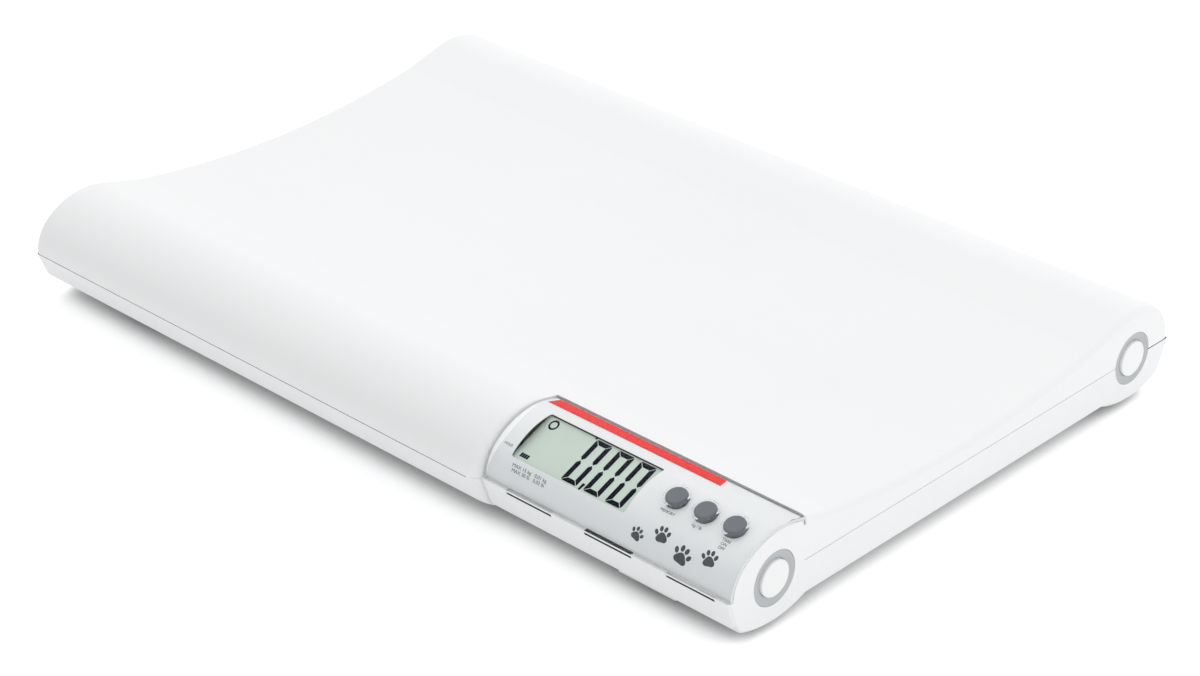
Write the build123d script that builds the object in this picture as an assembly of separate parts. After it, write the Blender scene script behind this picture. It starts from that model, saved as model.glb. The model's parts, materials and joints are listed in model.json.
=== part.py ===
from build123d import *
import os
from dataclasses import dataclass
from math import acos, asin, atan2, cos, degrees, hypot, radians, sin, sqrt

# Digital scale for small animals: a cradle-shaped platform on a shallow base, carried on four
# load-cell feet, with a display and three buttons under a clear cover on the front right beam.
# Millimetres. X runs along the length towards the display end, Y from front to back, Z up.
# The origin is on the table, under the middle of the scale.

# Platform outline
overall_length = 562.0
beam_spacing = 314.0
front_reach = 40.3
front_nose_radius = 26.6
back_reach = 36.8
back_nose_radius = 28.3
axis_height = 32.0
crest_rise = 31.5
dish_rise = 12.0
crease_offset = 115.0
crease_rise = 21.8
crease_blend = 60.0
end_round = 5.0
wall = 2.8

# Base outline, below the plane where the shells part
belly_drop = 22.2
keel_drop = 27.3
keel_radius = 66.0
side_draft = 7.5
chine_radius = 12.0
base_end_chamfer = 1.6
seam_gap = 0.6
seam_depth = 1.0

# Display section of the front beam
display_length = 178.0
display_shift = 4.0
display_reach = 38.4
display_rise = 30.4
display_nose_radius = 25.9
display_top = 24.0
rim_reach = 35.2
lip_width = 7.0
lip_sections = 4
lip_drop = 1.2
cover_thickness = 2.2
cover_gap = 0.4
label_thickness = 0.35
layer_gap = 0.1
shelf_wall = 2.8
gutter_wall = 1.6
flange_depth = 3.2
flange_thickness = 2.0
rim_width = 7.5
tab_length = 33.0
tab_pitch = 58.0
tab_first = 27.1
tab_depth = 2.5
tab_thickness = 1.4
tab_gap = 0.3
tab_count = 3

# Liquid-crystal display
window_left = 14.2
window_right = 82.4
window_top = 4.8
window_bottom = -26.1
glass_drop = 1.3
glass_thickness = 2.8
glass_gap = 0.15
holder_wall = 1.6
holder_gap = 0.2
holder_ledge = 2.0
holder_depth = 11.0
reflector_thickness = 0.5
connector_width = 2.4

# Buttons
button_count = 3
button_first = 18.6
button_pitch = 20.0
button_offset = -10.2
button_radius = 6.2
button_gap = 0.4
button_proud = 2.0
button_travel = 1.0
collar_wall = 1.0
collar_rise = 1.3
lug_reach = 1.3
lug_width = 4.0
lug_thickness = 1.0
lug_gap = 0.3
stem_side = 4.0
stem_length = 2.0
plunger_radius = 1.7
plunger_free = 1.4
plunger_gap = 0.15
plunger_depth = 1.4
switch_side = 6.0
switch_height = 3.4

# Circuit boards
board_thickness = 1.6
key_board_width = 16.0
key_board_left = 10.0
key_board_right = 4.0
key_screw_offset = 5.5
display_board_margin = 7.0
board_post_radius = 2.8
chip_side = 12.0
chip_height = 2.0

# Round plugs on the end faces
ring_radius = 16.0
disc_radius = 10.7
plug_gap = 0.15
plug_pocket = 3.4
ring_dish = 1.0
disc_proud = 0.8
plug_boss_wall = 2.6
plug_boss_depth = 6.0
plug_peg_side = 8.0
plug_peg_length = 4.0

# Load-cell feet
foot_inset = 70.0
pad_inset = 2.0
pad_height = 3.0
pad_chamfer = 0.8
cup_side = 30.0
cup_corner = 6.0
cup_gap = 0.5
cup_flange = 2.6
cup_flange_thickness = 1.2
foot_travel = 0.8
foot_travel_spare = 0.3
boss_wall = 2.2
cup_stem_side = 7.0
cup_stem_length = 2.2
cell_length = 48.0
cell_width = 36.0
cell_thickness = 1.8
cell_slot = 3.0
cell_bar = 6.0
cell_post_side = 7.0

# Battery bay in the belly
battery_count = 4
battery_radius = 7.1
battery_length = 49.0
battery_nub = 1.4
battery_nub_radius = 2.7
battery_gap = 0.4
bay_x = 150.0
bay_y = -40.0
bay_wall = 1.6
contact_space = 3.0
contact_thickness = 0.5
contact_side = 10.0
door_thickness = 1.6
door_gap = 0.6
door_play = 0.15
door_chamfer = 1.2
door_overlap = 4.0
door_lip = 1.0
hinge_tab_width = 9.0
hinge_tab_reach = 2.6
hinge_tab_thickness = 1.0
hinge_tab_gap = 0.3
hinge_pin_radius = 0.8
latch_width = 12.0
latch_height = 5.0
latch_thickness = 1.2
latch_gap = 0.6

# Case screws
screw_inset = 26.0
screw_offset = 19.0
post_radius = 5.0
head_hole_radius = 3.5
head_radius = 3.0
head_height = 2.2
shank_radius = 1.4
shank_gap = 0.15
shank_length = 18.0
seat_drop = 8.0

# Places worked out from the sizes above
overall_width = beam_spacing + front_reach + back_reach
front_axis = -overall_width / 2 + front_reach
back_axis = overall_width / 2 - back_reach
dish_centre = (front_axis + back_axis) / 2
half_length = overall_length / 2
display_start = half_length - display_length
display_top_y = front_axis + display_top
window_length = display_length - window_left - window_right
label_inset = cover_thickness + layer_gap
shelf_inset = label_inset + label_thickness + layer_gap / 2
far = overall_length + overall_width
crease_y = {-1: dish_centre - crease_offset, 1: dish_centre + crease_offset}
dish_sink = crease_rise - dish_rise
dish_radius = (crease_offset**2 + dish_sink**2) / (2 * dish_sink)
cell_seat = axis_height - keel_drop + wall + foot_travel + foot_travel_spare
cell_underside = cell_seat + cup_flange_thickness + cup_stem_length
floor_top = axis_height - belly_drop + wall


def along_x(face, start, end):
    """The solid that a face drawn in Y and Z sweeps from one X to another."""
    return extrude(Plane.YZ.offset(start) * face, end - start)


def block(x_range, y_range, z_range):
    """A box given by its lowest and highest X, Y and Z."""
    corner = (min(x_range), min(y_range), min(z_range))
    size = [abs(r[1] - r[0]) for r in (x_range, y_range, z_range)]
    return Pos(*corner) * Box(*size, align=(Align.MIN, Align.MIN, Align.MIN))


def peg(radius, z_low, z_high, sides=6):
    """A prism along Z, six-sided where nothing else is given, for a small post, hole or screw."""
    return Pos(0, 0, z_low) * extrude(RegularPolygon(radius, sides), z_high - z_low)


def peg_at(centre, radius, z_low, z_high):
    """The same prism upright at a place in X and Y."""
    return Pos(centre[0], centre[1], 0) * peg(radius, z_low, z_high)


def foot_prism(centre, growth, z_low, z_high):
    """A foot's outline, a square with its corners cut off, grown by a distance all round."""
    side = cup_side + 2 * growth
    outline = Rectangle(side, side)
    corner = cup_corner + (2 - sqrt(2)) * growth
    outline = chamfer(outline.vertices(), corner)
    return Pos(centre[0], centre[1], z_low) * extrude(outline, z_high - z_low)


def foot_block(centre, growth, z_low, z_high):
    """The plain square of the hidden parts of a foot and its well, grown in the same way."""
    side = cup_side + 2 * growth
    middle = (z_low + z_high) / 2
    return Pos(centre[0], centre[1], middle) * Box(side, side, z_high - z_low)


@dataclass
class BeamTop:
    """The top of one beam in section: a nose arc, a crest arc and a straight slope to the dish.

    Distances run outwards from the beam's axis, and heights upwards from the parting plane.
    The side is -1 at the front and 1 at the back. The slope passes through the slope point.
    """

    axis: float
    side: int
    reach: float
    rise: float
    nose_radius: float
    slope_point: tuple

    def __post_init__(self):
        across = self.reach - self.nose_radius
        self.nose_centre = (across, 0.0)
        square = across**2 + self.rise**2 - self.nose_radius**2
        self.crest_radius = square / (2 * (self.rise - self.nose_radius))
        self.crest_centre = (0.0, self.rise - self.crest_radius)
        self.meet = atan2(-self.crest_centre[1], across)
        out = self.slope_point[0]
        up = self.slope_point[1] - self.crest_centre[1]
        self.leave = atan2(up, out) - acos(self.crest_radius / hypot(out, up))

    def nose_at(self, angle, inset=0.0):
        """Point of the nose arc at an angle, or of its parallel inside."""
        radius = self.nose_radius - inset
        return self.nose_centre[0] + radius * cos(angle), radius * sin(angle)

    def crest_at(self, angle, inset=0.0):
        """Point of the crest arc at an angle, or of its parallel inside."""
        radius = self.crest_radius - inset
        return radius * cos(angle), self.crest_centre[1] + radius * sin(angle)

    def height(self, out, inset=0.0):
        """Height of the two arcs at a distance from the axis."""
        if out > self.nose_at(self.meet, inset)[0]:
            return sqrt((self.nose_radius - inset) ** 2 - (out - self.nose_centre[0]) ** 2)
        return self.crest_centre[1] + sqrt((self.crest_radius - inset) ** 2 - out**2)

    def slope_height(self, out, inset=0.0):
        """Height of the slope at a distance from the axis."""
        touch = self.crest_at(self.leave, inset)
        return touch[1] + (touch[0] - out) * cos(self.leave) / sin(self.leave)

    def face(self, inset, end):
        """The area under the outline, or under its parallel inside, as far as a distance from the axis."""
        outline = [
            (self.reach - inset, 0.0),
            self.nose_at(self.meet / 2, inset),
            self.nose_at(self.meet, inset),
            self.crest_at((self.meet + self.leave) / 2, inset),
            self.crest_at(self.leave, inset),
            (end, self.slope_height(end, inset)),
            (end, 0.0),
        ]
        placed = [(self.axis + self.side * out, axis_height + up) for out, up in outline]
        edges = [
            ThreePointArc(*placed[0:3]),
            ThreePointArc(*placed[2:5]),
            Line(placed[4], placed[5]),
            Line(placed[5], placed[6]),
            Line(placed[6], placed[0]),
        ]
        return make_face(edges)


def beam_top(side):
    """The platform's own beam on one side."""
    axis, reach, nose = {
        -1: (front_axis, front_reach, front_nose_radius),
        1: (back_axis, back_reach, back_nose_radius),
    }[side]
    slope_point = (side * (crease_y[side] - axis), crease_rise)
    return BeamTop(axis, side, reach, crest_rise, nose, slope_point)


def tray_face(inset):
    """Section of the platform, or of the space inside it, above the parting plane."""
    middle = axis_height + crest_rise / 2
    section = Pos(dish_centre, middle) * Rectangle(back_axis - front_axis, crest_rise)
    bottom = axis_height + dish_rise
    section -= Pos(dish_centre, bottom + dish_radius) * Circle(dish_radius + inset)
    for side in (-1, 1):
        beam = beam_top(side)
        section += beam.face(inset, beam.slope_point[0] - crease_blend / 2)
    creases = [
        section.vertices().sort_by_distance((crease_y[side], axis_height + crease_rise - inset))[0]
        for side in (-1, 1)
    ]
    return fillet(creases, crease_blend + inset)


def display_surface(part=1.0, drop=0.0):
    """The front beam's top, part of the way in to the display's outline, sunk by a drop."""
    axis = front_axis + display_shift * part
    reach = front_reach + (display_reach - front_reach) * part - drop
    rise = crest_rise + (display_rise - crest_rise) * part - drop
    nose = front_nose_radius + (display_nose_radius - front_nose_radius) * part - drop
    edge = beam_top(-1).slope_height(front_axis - display_top_y)
    return BeamTop(axis, -1, reach, rise, nose, (axis - display_top_y, edge))


def display_face(inset, top, part=1.0, drop=0.0):
    """Section under the display surface, from the nose back to a given Y."""
    surface = display_surface(part, drop)
    return surface.face(inset, surface.axis - top)


def keel_z(offset, inset=0.0):
    """Height of a beam's rounded underside at a distance from the beam's axis."""
    radius = keel_radius - inset
    return axis_height - keel_drop + keel_radius - sqrt(radius**2 - offset**2)


def beam_face(axis, side, reach, inset=0.0):
    """Section of the base below one beam. Side is -1 at the front and 1 at the back."""
    chine = reach - side_draft - inset
    belly = axis_height - belly_drop + inset
    bottom_radius = keel_radius - inset
    centre_z = axis_height - keel_drop + keel_radius
    inner = sqrt(bottom_radius**2 - (centre_z - belly) ** 2)
    nose = (axis + side * (reach - inset), axis_height)
    corner = (axis + side * chine, keel_z(chine, inset))
    lowest = (axis, keel_z(0.0, inset))
    end = (axis - side * inner, belly)
    edges = [
        Line(nose, corner),
        ThreePointArc(corner, lowest, end),
        Line(end, (end[0], axis_height)),
        Line((end[0], axis_height), nose),
    ]
    face = make_face(edges)
    corners = [v for v in face.vertices() if hypot(v.X - corner[0], v.Y - corner[1]) < layer_gap]
    return fillet(corners, chine_radius - inset)


def belly_face(inset=0.0):
    """Section of the base between the beams' axes."""
    depth = belly_drop - inset
    middle = Pos(dish_centre, axis_height - depth / 2)
    return middle * Rectangle(back_axis - front_axis, depth)


def base_face(inset, front):
    """Section of the whole base, or of the space inside it, with the front nose where given."""
    section = beam_face(front_axis, -1, front, inset)
    section += beam_face(back_axis, 1, back_reach, inset)
    section += belly_face(inset)
    return section


def loft_x(faces, places):
    """A solid in short straight steps through sections drawn in Y and Z, each at its own X."""
    sections = [Plane.YZ.offset(x) * face for face, x in zip(faces, places)]
    return loft(sections, ruled=True)


def lip_steps():
    """Places along X and share of the way in, on the quarter turn of the lip beside the display."""
    turns = [radians(90.0 * i / lip_sections) for i in range(lip_sections + 1)]
    return [(display_start - lip_width * (1 - sin(a)), 1 - cos(a)) for a in turns]


def button_frame():
    """Location on the display surface at the row of buttons, with Z pointing out."""
    surface = display_surface()
    out = surface.axis - front_axis - button_offset
    place = (0.0, front_axis + button_offset, axis_height + surface.height(out))
    return Location(place, (degrees(asin(out / surface.crest_radius)), 0, 0))


def window_frame():
    """Location of the display glass, on the chord between the window's long edges, and its width."""
    surface = display_surface()
    ends = []
    for offset in (window_bottom, window_top):
        y = front_axis + offset
        ends.append((y, axis_height + surface.height(surface.axis - y, label_inset)))
    (y0, z0), (y1, z1) = ends
    middle = (half_length - window_right - window_length / 2, (y0 + y1) / 2, (z0 + z1) / 2)
    return Location(middle, (degrees(atan2(z1 - z0, y1 - y0)), 0, 0)), hypot(y1 - y0, z1 - z0)


window_place, window_height = window_frame()
key_place = button_frame()
button_places = [
    Pos(half_length - button_first - button_pitch * i, 0, 0) * key_place for i in range(button_count)
]
collar_radius = button_radius + button_gap + collar_wall
lug_top = -(shelf_inset + shelf_wall + lug_gap)
stem_end = lug_top - lug_thickness - stem_length
switch_top = stem_end - plunger_free
key_board_top = switch_top - switch_height
holder_floor = -glass_drop - glass_thickness
board_top = -holder_depth
plug_depth = plug_pocket + plug_boss_depth
corner_screws = [
    (side * (half_length - screw_inset), y)
    for side in (-1, 1)
    for y in (front_axis + screw_offset, back_axis - screw_offset)
]
middle_screws = [(0.0, front_axis), (0.0, back_axis)]
screw_places = corner_screws + middle_screws
foot_places = [
    (side * (half_length - foot_inset), y) for side in (-1, 1) for y in (front_axis, back_axis)
]
plug_places = [(side, y) for side in (-1, 1) for y in (front_axis, back_axis)]
bay_length = battery_length + battery_nub + 2 * contact_space
bay_width = 2 * battery_count * battery_radius + (battery_count + 1) * battery_gap
door_length = bay_length + 2 * door_overlap
door_width = bay_width + 2 * door_overlap
door_front = bay_y - door_width / 2
door_top = axis_height - belly_drop + door_thickness
hinge_axis_z = axis_height - belly_drop + door_lip + hinge_tab_gap + hinge_tab_thickness / 2


def plug_pocket_cuts():
    """The round pockets and square peg holes in the end faces, which both shells share."""
    cuts = []
    for side, y in plug_places:
        at_end = Pos(side * half_length, y, axis_height)
        pocket = Cylinder(ring_radius + plug_gap, 2 * plug_pocket)
        hole = plug_peg_side + 2 * plug_gap
        cuts += [at_end * Rot(0, 90, 0) * pocket, at_end * Box(2 * plug_depth, hole, hole)]
    return cuts


def plug_bosses():
    """Thick blocks behind the pockets, inside the end walls."""
    side_length = 2 * (ring_radius + plug_boss_wall)
    x = half_length - plug_depth / 2
    return [
        Pos(side * x, y, axis_height) * Box(plug_depth, side_length, side_length)
        for side, y in plug_places
    ]


def make_platform_cover():
    """The upper shell: dish, beams, rolled lip, sunk display shelf and bosses."""
    outer = along_x(tray_face(0.0), -half_length, half_length)
    steps = lip_steps()
    front_side = (front_axis - far, display_top_y)
    above = (axis_height - far, axis_height + far)
    outer -= block((steps[0][0], far), front_side, above)
    faces = [display_face(0.0, display_top_y, share, lip_drop * share) for x, share in steps]
    outer += loft_x(faces, [x for x, share in steps])
    outer += along_x(display_face(shelf_inset, display_top_y), display_start, half_length)
    edges = outer.edges().filter_by(lambda e: abs(abs(e.center().X) - half_length) < layer_gap)
    rounded = [
        e for e in edges
        if e.center().Z > axis_height + layer_gap
        and not (e.center().X > 0 and e.center().Y < display_top_y + layer_gap)
    ]
    outer = fillet(rounded, end_round)

    inner = along_x(tray_face(wall), -half_length + wall, half_length - wall)
    behind = display_top_y + gutter_wall
    start = steps[0][0] - wall
    inner -= block((start, far), (front_axis - far, behind), above)
    deep = shelf_inset + shelf_wall
    gutter = display_top_y - flange_thickness - 2 * gutter_wall
    inner += along_x(display_face(deep, gutter), start, half_length - wall)
    deeper = cover_thickness + flange_depth + layer_gap + gutter_wall
    inner += along_x(display_face(max(deep, deeper), behind), start, half_length - wall)

    bosses = [peg_at(p, post_radius, axis_height, axis_height + far) for p in screw_places]
    filling = inner & (bosses[0] + bosses[1:] + board_posts() + plug_bosses())
    shell = outer - inner + filling
    shell -= plug_pocket_cuts()
    shank_top = axis_height + shank_length
    shell -= [peg_at(p, shank_radius + shank_gap, axis_height, shank_top) for p in screw_places]
    shell -= window_place * Box(
        window_length + 2 * (holder_wall + holder_gap),
        window_height + 2 * (holder_wall + holder_gap),
        2 * holder_depth,
    )
    for place in button_places:
        shell -= place * peg(button_radius + 2 * button_gap, stem_end, -stem_end, 8)
    slot = flange_thickness + 2 * layer_gap
    gutter_cut = display_face(shelf_inset, display_top_y) - display_face(
        cover_thickness + flange_depth + layer_gap, display_top_y
    )
    shell -= along_x(gutter_cut, display_start, half_length) & block(
        (display_start, half_length), (display_top_y - slot, display_top_y), above
    )
    return shell


def make_base_shell():
    """The lower shell: belly, two keels, foot wells, screw posts, battery opening and rim."""
    steps = lip_steps()
    outer = along_x(base_face(0.0, front_reach), -half_length, half_length)
    outer -= block((steps[0][0], far), (front_axis - far, front_axis), (-far, far))
    faces = []
    for x, share in steps:
        nose = front_reach + (rim_reach - front_reach) * share
        faces.append(beam_face(front_axis, -1, nose))
    outer += loft_x(faces, [x for x, share in steps])
    outer += along_x(beam_face(front_axis, -1, rim_reach), display_start, half_length)
    edges = outer.edges().filter_by(lambda e: abs(abs(e.center().X) - half_length) < layer_gap)
    outer = chamfer([e for e in edges if e.center().Z < axis_height - layer_gap], base_end_chamfer)
    lowest = axis_height - keel_drop
    well = cup_gap + cup_flange
    for p in foot_places:
        outer += foot_block(p, well + boss_wall, lowest, axis_height - belly_drop)

    inner = along_x(base_face(wall, front_reach), -half_length + wall, half_length - wall)
    rim_start = steps[0][0] - wall
    inner -= block(
        (rim_start, far), (front_axis - far, front_axis - rim_reach + rim_width), (-far, far)
    )
    posts = [peg_at(p, post_radius, 0, axis_height) for p in screw_places]
    posts += [foot_block(p, well + boss_wall, 0, cell_seat) for p in foot_places]
    posts += cell_posts()
    shell = outer - inner + (inner & (posts[0] + posts[1:] + plug_bosses()))
    for p in foot_places:
        shell -= foot_prism(p, cup_gap, 0, axis_height)
        shell -= foot_block(p, well, lowest + wall, axis_height)
    shell -= plug_pocket_cuts()
    for p in screw_places:
        shell -= peg_at(p, head_hole_radius, 0, axis_height - seat_drop)
        shell -= peg_at(p, shank_radius + shank_gap, 0, axis_height)
    shell -= tab_slots()
    shell -= seam_groove()
    shell -= bay_opening()
    return shell


def seam_groove():
    """The fine groove round the outside where the shells meet."""
    band = (axis_height - seam_gap, axis_height)
    full = block((-half_length, half_length), (-far, far), band)
    main = base_face(seam_depth, front_reach)
    main = along_x(main, -half_length + seam_depth, half_length - seam_depth)
    rim = block(
        (display_start - lip_width, half_length),
        (front_axis - far, display_top_y),
        (axis_height - far, axis_height + far),
    )
    return full - main - rim


def tab_slots():
    """Slots in the rim that the clear cover's three tabs drop into."""
    slots = []
    outer = front_axis + display_shift - display_reach
    for i in range(tab_count):
        middle = half_length - tab_first - tab_pitch * i
        half = tab_length / 2 + tab_gap
        slots.append(block(
            (middle - half, middle + half),
            (outer + cover_thickness - tab_thickness - tab_gap, outer + cover_thickness + tab_gap),
            (axis_height - tab_depth - tab_gap, axis_height),
        ))
    return slots


def make_display_cover():
    """The clear curved cover with its top flange, button collars and clip tabs."""
    start = display_start + cover_gap
    top = display_top_y - layer_gap
    sheet = display_face(0.0, top) - display_face(cover_thickness, top)
    cover = along_x(sheet, start, half_length)
    bottom = axis_height + seam_gap / 2
    cover -= block((start, half_length), (front_axis - far, front_axis), (axis_height - far, bottom))
    flange = display_face(0.0, top) - display_face(cover_thickness + flange_depth, top)
    cover += along_x(flange, start, half_length) & block(
        (start, half_length), (top - flange_thickness, top), (axis_height, axis_height + far)
    )
    outer = front_axis + display_shift - display_reach
    for i in range(tab_count):
        middle = half_length - tab_first - tab_pitch * i
        cover += block(
            (middle - tab_length / 2, middle + tab_length / 2),
            (outer + cover_thickness - tab_thickness, outer + cover_thickness),
            (axis_height - tab_depth, bottom + tab_depth),
        )
    depth = cover_thickness / 2
    for place in button_places:
        collar = Cylinder(
            collar_radius, collar_rise + depth, align=(Align.CENTER, Align.CENTER, Align.MIN)
        )
        cover += place * Pos(0, 0, -depth) * collar
    for place in button_places:
        cover -= place * Cylinder(button_radius + button_gap, 4 * cover_thickness)
    return cover


def make_display_label():
    """The printed sheet under the clear cover, with its window and button holes."""
    start = display_start + cover_gap
    top = display_top_y - flange_thickness - 2 * layer_gap
    sheet = display_face(label_inset, top) - display_face(label_inset + label_thickness, top)
    label = along_x(sheet, start, half_length - layer_gap)
    label -= block(
        (start, half_length), (front_axis - far, front_axis), (axis_height - far, axis_height + seam_gap)
    )
    label -= window_place * Box(window_length, window_height, 4 * glass_thickness)
    label_depth = 2 * cover_thickness
    for place in button_places:
        label -= place * peg(collar_radius, -label_depth, label_depth)
    return label


def make_lcd_holder():
    """The dark frame that carries the glass, cut off along the curve of the shelf."""
    length = window_length + 2 * holder_wall
    height = window_height + 2 * holder_wall
    body = window_place * Pos(0, 0, -holder_depth) * Box(
        length, height, 2 * holder_depth, align=(Align.CENTER, Align.CENTER, Align.MIN)
    )
    under = display_face(shelf_inset, display_top_y)
    body &= along_x(under, display_start, half_length)
    pocket = Box(
        window_length, window_height, 2 * holder_depth, align=(Align.CENTER, Align.CENTER, Align.MIN)
    )
    body -= window_place * Pos(0, 0, holder_floor) * pocket
    body -= window_place * Box(
        window_length - 2 * holder_ledge,
        window_height - 2 * (holder_ledge + connector_width),
        4 * holder_depth,
    )
    for solid in connector_solids(glass_gap):
        body -= solid
    return body


def connector_solids(growth=0.0):
    """The two elastic strips that join the glass to its board, or the slots that hold them."""
    strips = []
    for side in (-1, 1):
        y = side * (window_height / 2 - holder_ledge - connector_width / 2)
        strip = Box(
            window_length - 2 * holder_ledge,
            connector_width + growth,
            holder_floor - board_top,
            align=(Align.CENTER, Align.CENTER, Align.MAX),
        )
        strips.append(window_place * Pos(0, y, holder_floor) * strip)
    return strips


def make_lcd_glass():
    """The liquid-crystal cell itself."""
    plate = Box(
        window_length - 2 * glass_gap,
        window_height - 2 * glass_gap,
        glass_thickness,
        align=(Align.CENTER, Align.CENTER, Align.MIN),
    )
    return window_place * Pos(0, 0, holder_floor) * plate


def make_lcd_reflector():
    """The pale sheet behind the glass."""
    width = window_height - 2 * (holder_ledge + connector_width + glass_gap)
    sheet = Box(
        window_length - 2 * (holder_ledge + glass_gap),
        width - glass_gap,
        reflector_thickness,
        align=(Align.CENTER, Align.CENTER, Align.MAX),
    )
    return window_place * Pos(0, 0, holder_floor) * sheet


def display_board_size():
    """Length and width of the board behind the glass."""
    length = window_length + 2 * (holder_wall + display_board_margin)
    return length, window_height + 2 * holder_wall


def display_board_corners():
    """Screw places on the display board, in the glass's own frame."""
    length, width = display_board_size()
    x = length / 2 - display_board_margin / 2
    y = width / 2 - display_board_margin / 2
    return [window_place * Pos(sx * x, sy * y, board_top) for sx in (-1, 1) for sy in (-1, 1)]


def key_board_length():
    """Length of the board under the buttons."""
    return button_pitch * (button_count - 1) + switch_side + key_board_left + key_board_right


def key_board_middle():
    """Location of the key board's upper face, at the middle of the row of buttons."""
    x = half_length - button_first - button_pitch * (button_count - 1) / 2
    return Pos(x, 0, 0) * key_place * Pos(0, 0, key_board_top)


def key_board_ends():
    """Screw places on the key board, between the buttons and near its long edges."""
    x = button_pitch / 2
    return [key_board_middle() * Pos(side * x, -side * key_screw_offset, 0) for side in (-1, 1)]


def board_posts():
    """Posts under the shelf that carry both boards."""
    places = display_board_corners() + key_board_ends()
    return [place * peg(board_post_radius, 0, axis_height) for place in places]


def board_plate(length, width):
    """A circuit board with its upper face at Z zero."""
    return Box(length, width, board_thickness, align=(Align.CENTER, Align.CENTER, Align.MAX))


def make_display_board():
    """The main board, behind the glass."""
    return window_place * Pos(0, 0, board_top) * board_plate(*display_board_size())


def make_key_board():
    """The small board under the buttons."""
    shift = (key_board_right - key_board_left) / 2
    return key_board_middle() * Pos(shift, 0, 0) * board_plate(key_board_length(), key_board_width)


def make_board_chips():
    """The two chips on the back of the main board."""
    chips = []
    for x in (-window_length / 4, window_length / 4):
        chip = Box(chip_side, chip_side, chip_height, align=(Align.CENTER, Align.CENTER, Align.MAX))
        chips.append(window_place * Pos(x, 0, board_top - board_thickness) * chip)
    return Compound(children=chips)


def make_switches():
    """The three switch bodies under the buttons."""
    bodies = []
    for place in button_places:
        body = Box(
            switch_side, switch_side, switch_height, align=(Align.CENTER, Align.CENTER, Align.MIN)
        )
        floor = switch_height - plunger_depth - button_travel - plunger_gap
        well = peg(plunger_radius + plunger_gap, floor, switch_height)
        bodies.append(place * Pos(0, 0, key_board_top) * (body - well))
    return Compound(children=bodies)


def make_plunger(place):
    """The small pin of one switch, which its button pushes."""
    return place * peg(plunger_radius, stem_end - plunger_free - plunger_depth, stem_end)


def make_button(place):
    """One round button with a bar whose ends retain it and a square stem."""
    down = (Align.CENTER, Align.CENTER, Align.MAX)
    bottom = lug_top - lug_thickness
    body = Pos(0, 0, button_proud) * Cylinder(button_radius, button_proud - lug_top, align=down)
    lugs = Box(2 * (button_radius + lug_reach), lug_width, lug_thickness, align=down)
    stem = Box(stem_side, stem_side, stem_length, align=down)
    return place * (body + Pos(0, 0, lug_top) * lugs + Pos(0, 0, bottom) * stem)


def make_end_rings():
    """The four grey rings in the end faces, dished towards their middles."""
    outline = [
        (disc_radius + plug_gap, 0.0),
        (ring_radius, 0.0),
        (ring_radius, plug_pocket),
        (disc_radius + plug_gap, plug_pocket - ring_dish),
    ]
    ring = revolve(Plane.XZ * make_face(Polyline(*outline, close=True)), Axis.Z)
    return Compound(children=[plug_seat(side, y) * ring for side, y in plug_places])


def make_end_discs():
    """The four pale discs in the middle of the rings, each with a square peg in the wall."""
    top = plug_pocket + disc_proud
    disc = Cylinder(disc_radius, top, align=(Align.CENTER, Align.CENTER, Align.MIN))
    disc += Pos(0, 0, -plug_peg_length / 2) * Box(plug_peg_side, plug_peg_side, plug_peg_length)
    return Compound(children=[plug_seat(side, y) * disc for side, y in plug_places])


def plug_seat(side, y):
    """The floor of one pocket, with Z pointing out of the end face."""
    return Pos(side * (half_length - plug_pocket), y, axis_height) * Rot(0, 90 * side, 0)


def make_foot_cup(place):
    """The hard cup of one foot, held in its well by a flange, with the stem that pushes the cell."""
    top = cell_seat + cup_flange_thickness
    stem = Box(cup_stem_side, cup_stem_side, cell_underside - top)
    cup = foot_prism(place, 0.0, pad_height, top)
    cup += foot_block(place, cup_flange - cup_gap, cell_seat, top)
    return cup + Pos(*place, (top + cell_underside) / 2) * stem


def make_foot_pad(place):
    """The soft pad under one foot."""
    pad = foot_prism(place, -pad_inset, 0, pad_height)
    return chamfer(pad.faces().sort_by(Axis.Z)[0].edges(), pad_chamfer)


def cell_posts():
    """Posts in the base under each load cell's ends."""
    post = Box(cell_post_side, cell_width, 2 * cell_underside)
    reach = (cell_length - cell_bar) / 2
    return [
        Pos(x + side * reach, y, 0) * post for x, y in foot_places for side in (-1, 1)
    ]


def make_load_cells():
    """The four strain-gauge plates, each a frame with a tongue that its foot pushes."""
    up = (Align.CENTER, Align.CENTER, Align.MIN)
    plate = Box(cell_length, cell_width, cell_thickness, align=up)
    inner_length = cell_length - 2 * cell_bar
    inner_width = cell_width - 2 * cell_bar
    slot = Box(inner_length, inner_width, 4 * cell_thickness)
    tongue = Pos(0, cell_slot, 0) * Box(inner_length - 2 * cell_slot, inner_width, 6 * cell_thickness)
    plate -= slot - tongue
    return Compound(children=[Pos(*place, cell_underside) * plate for place in foot_places])


def make_case_screws():
    """The long screws that draw the two shells together from below."""
    screws = []
    seat = axis_height - seat_drop
    for place in screw_places:
        head = peg_at(place, head_radius, seat - head_height, seat)
        shank = peg_at(place, shank_radius, seat, seat + shank_length)
        screws.append(head + shank)
    return Compound(children=screws)


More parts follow.
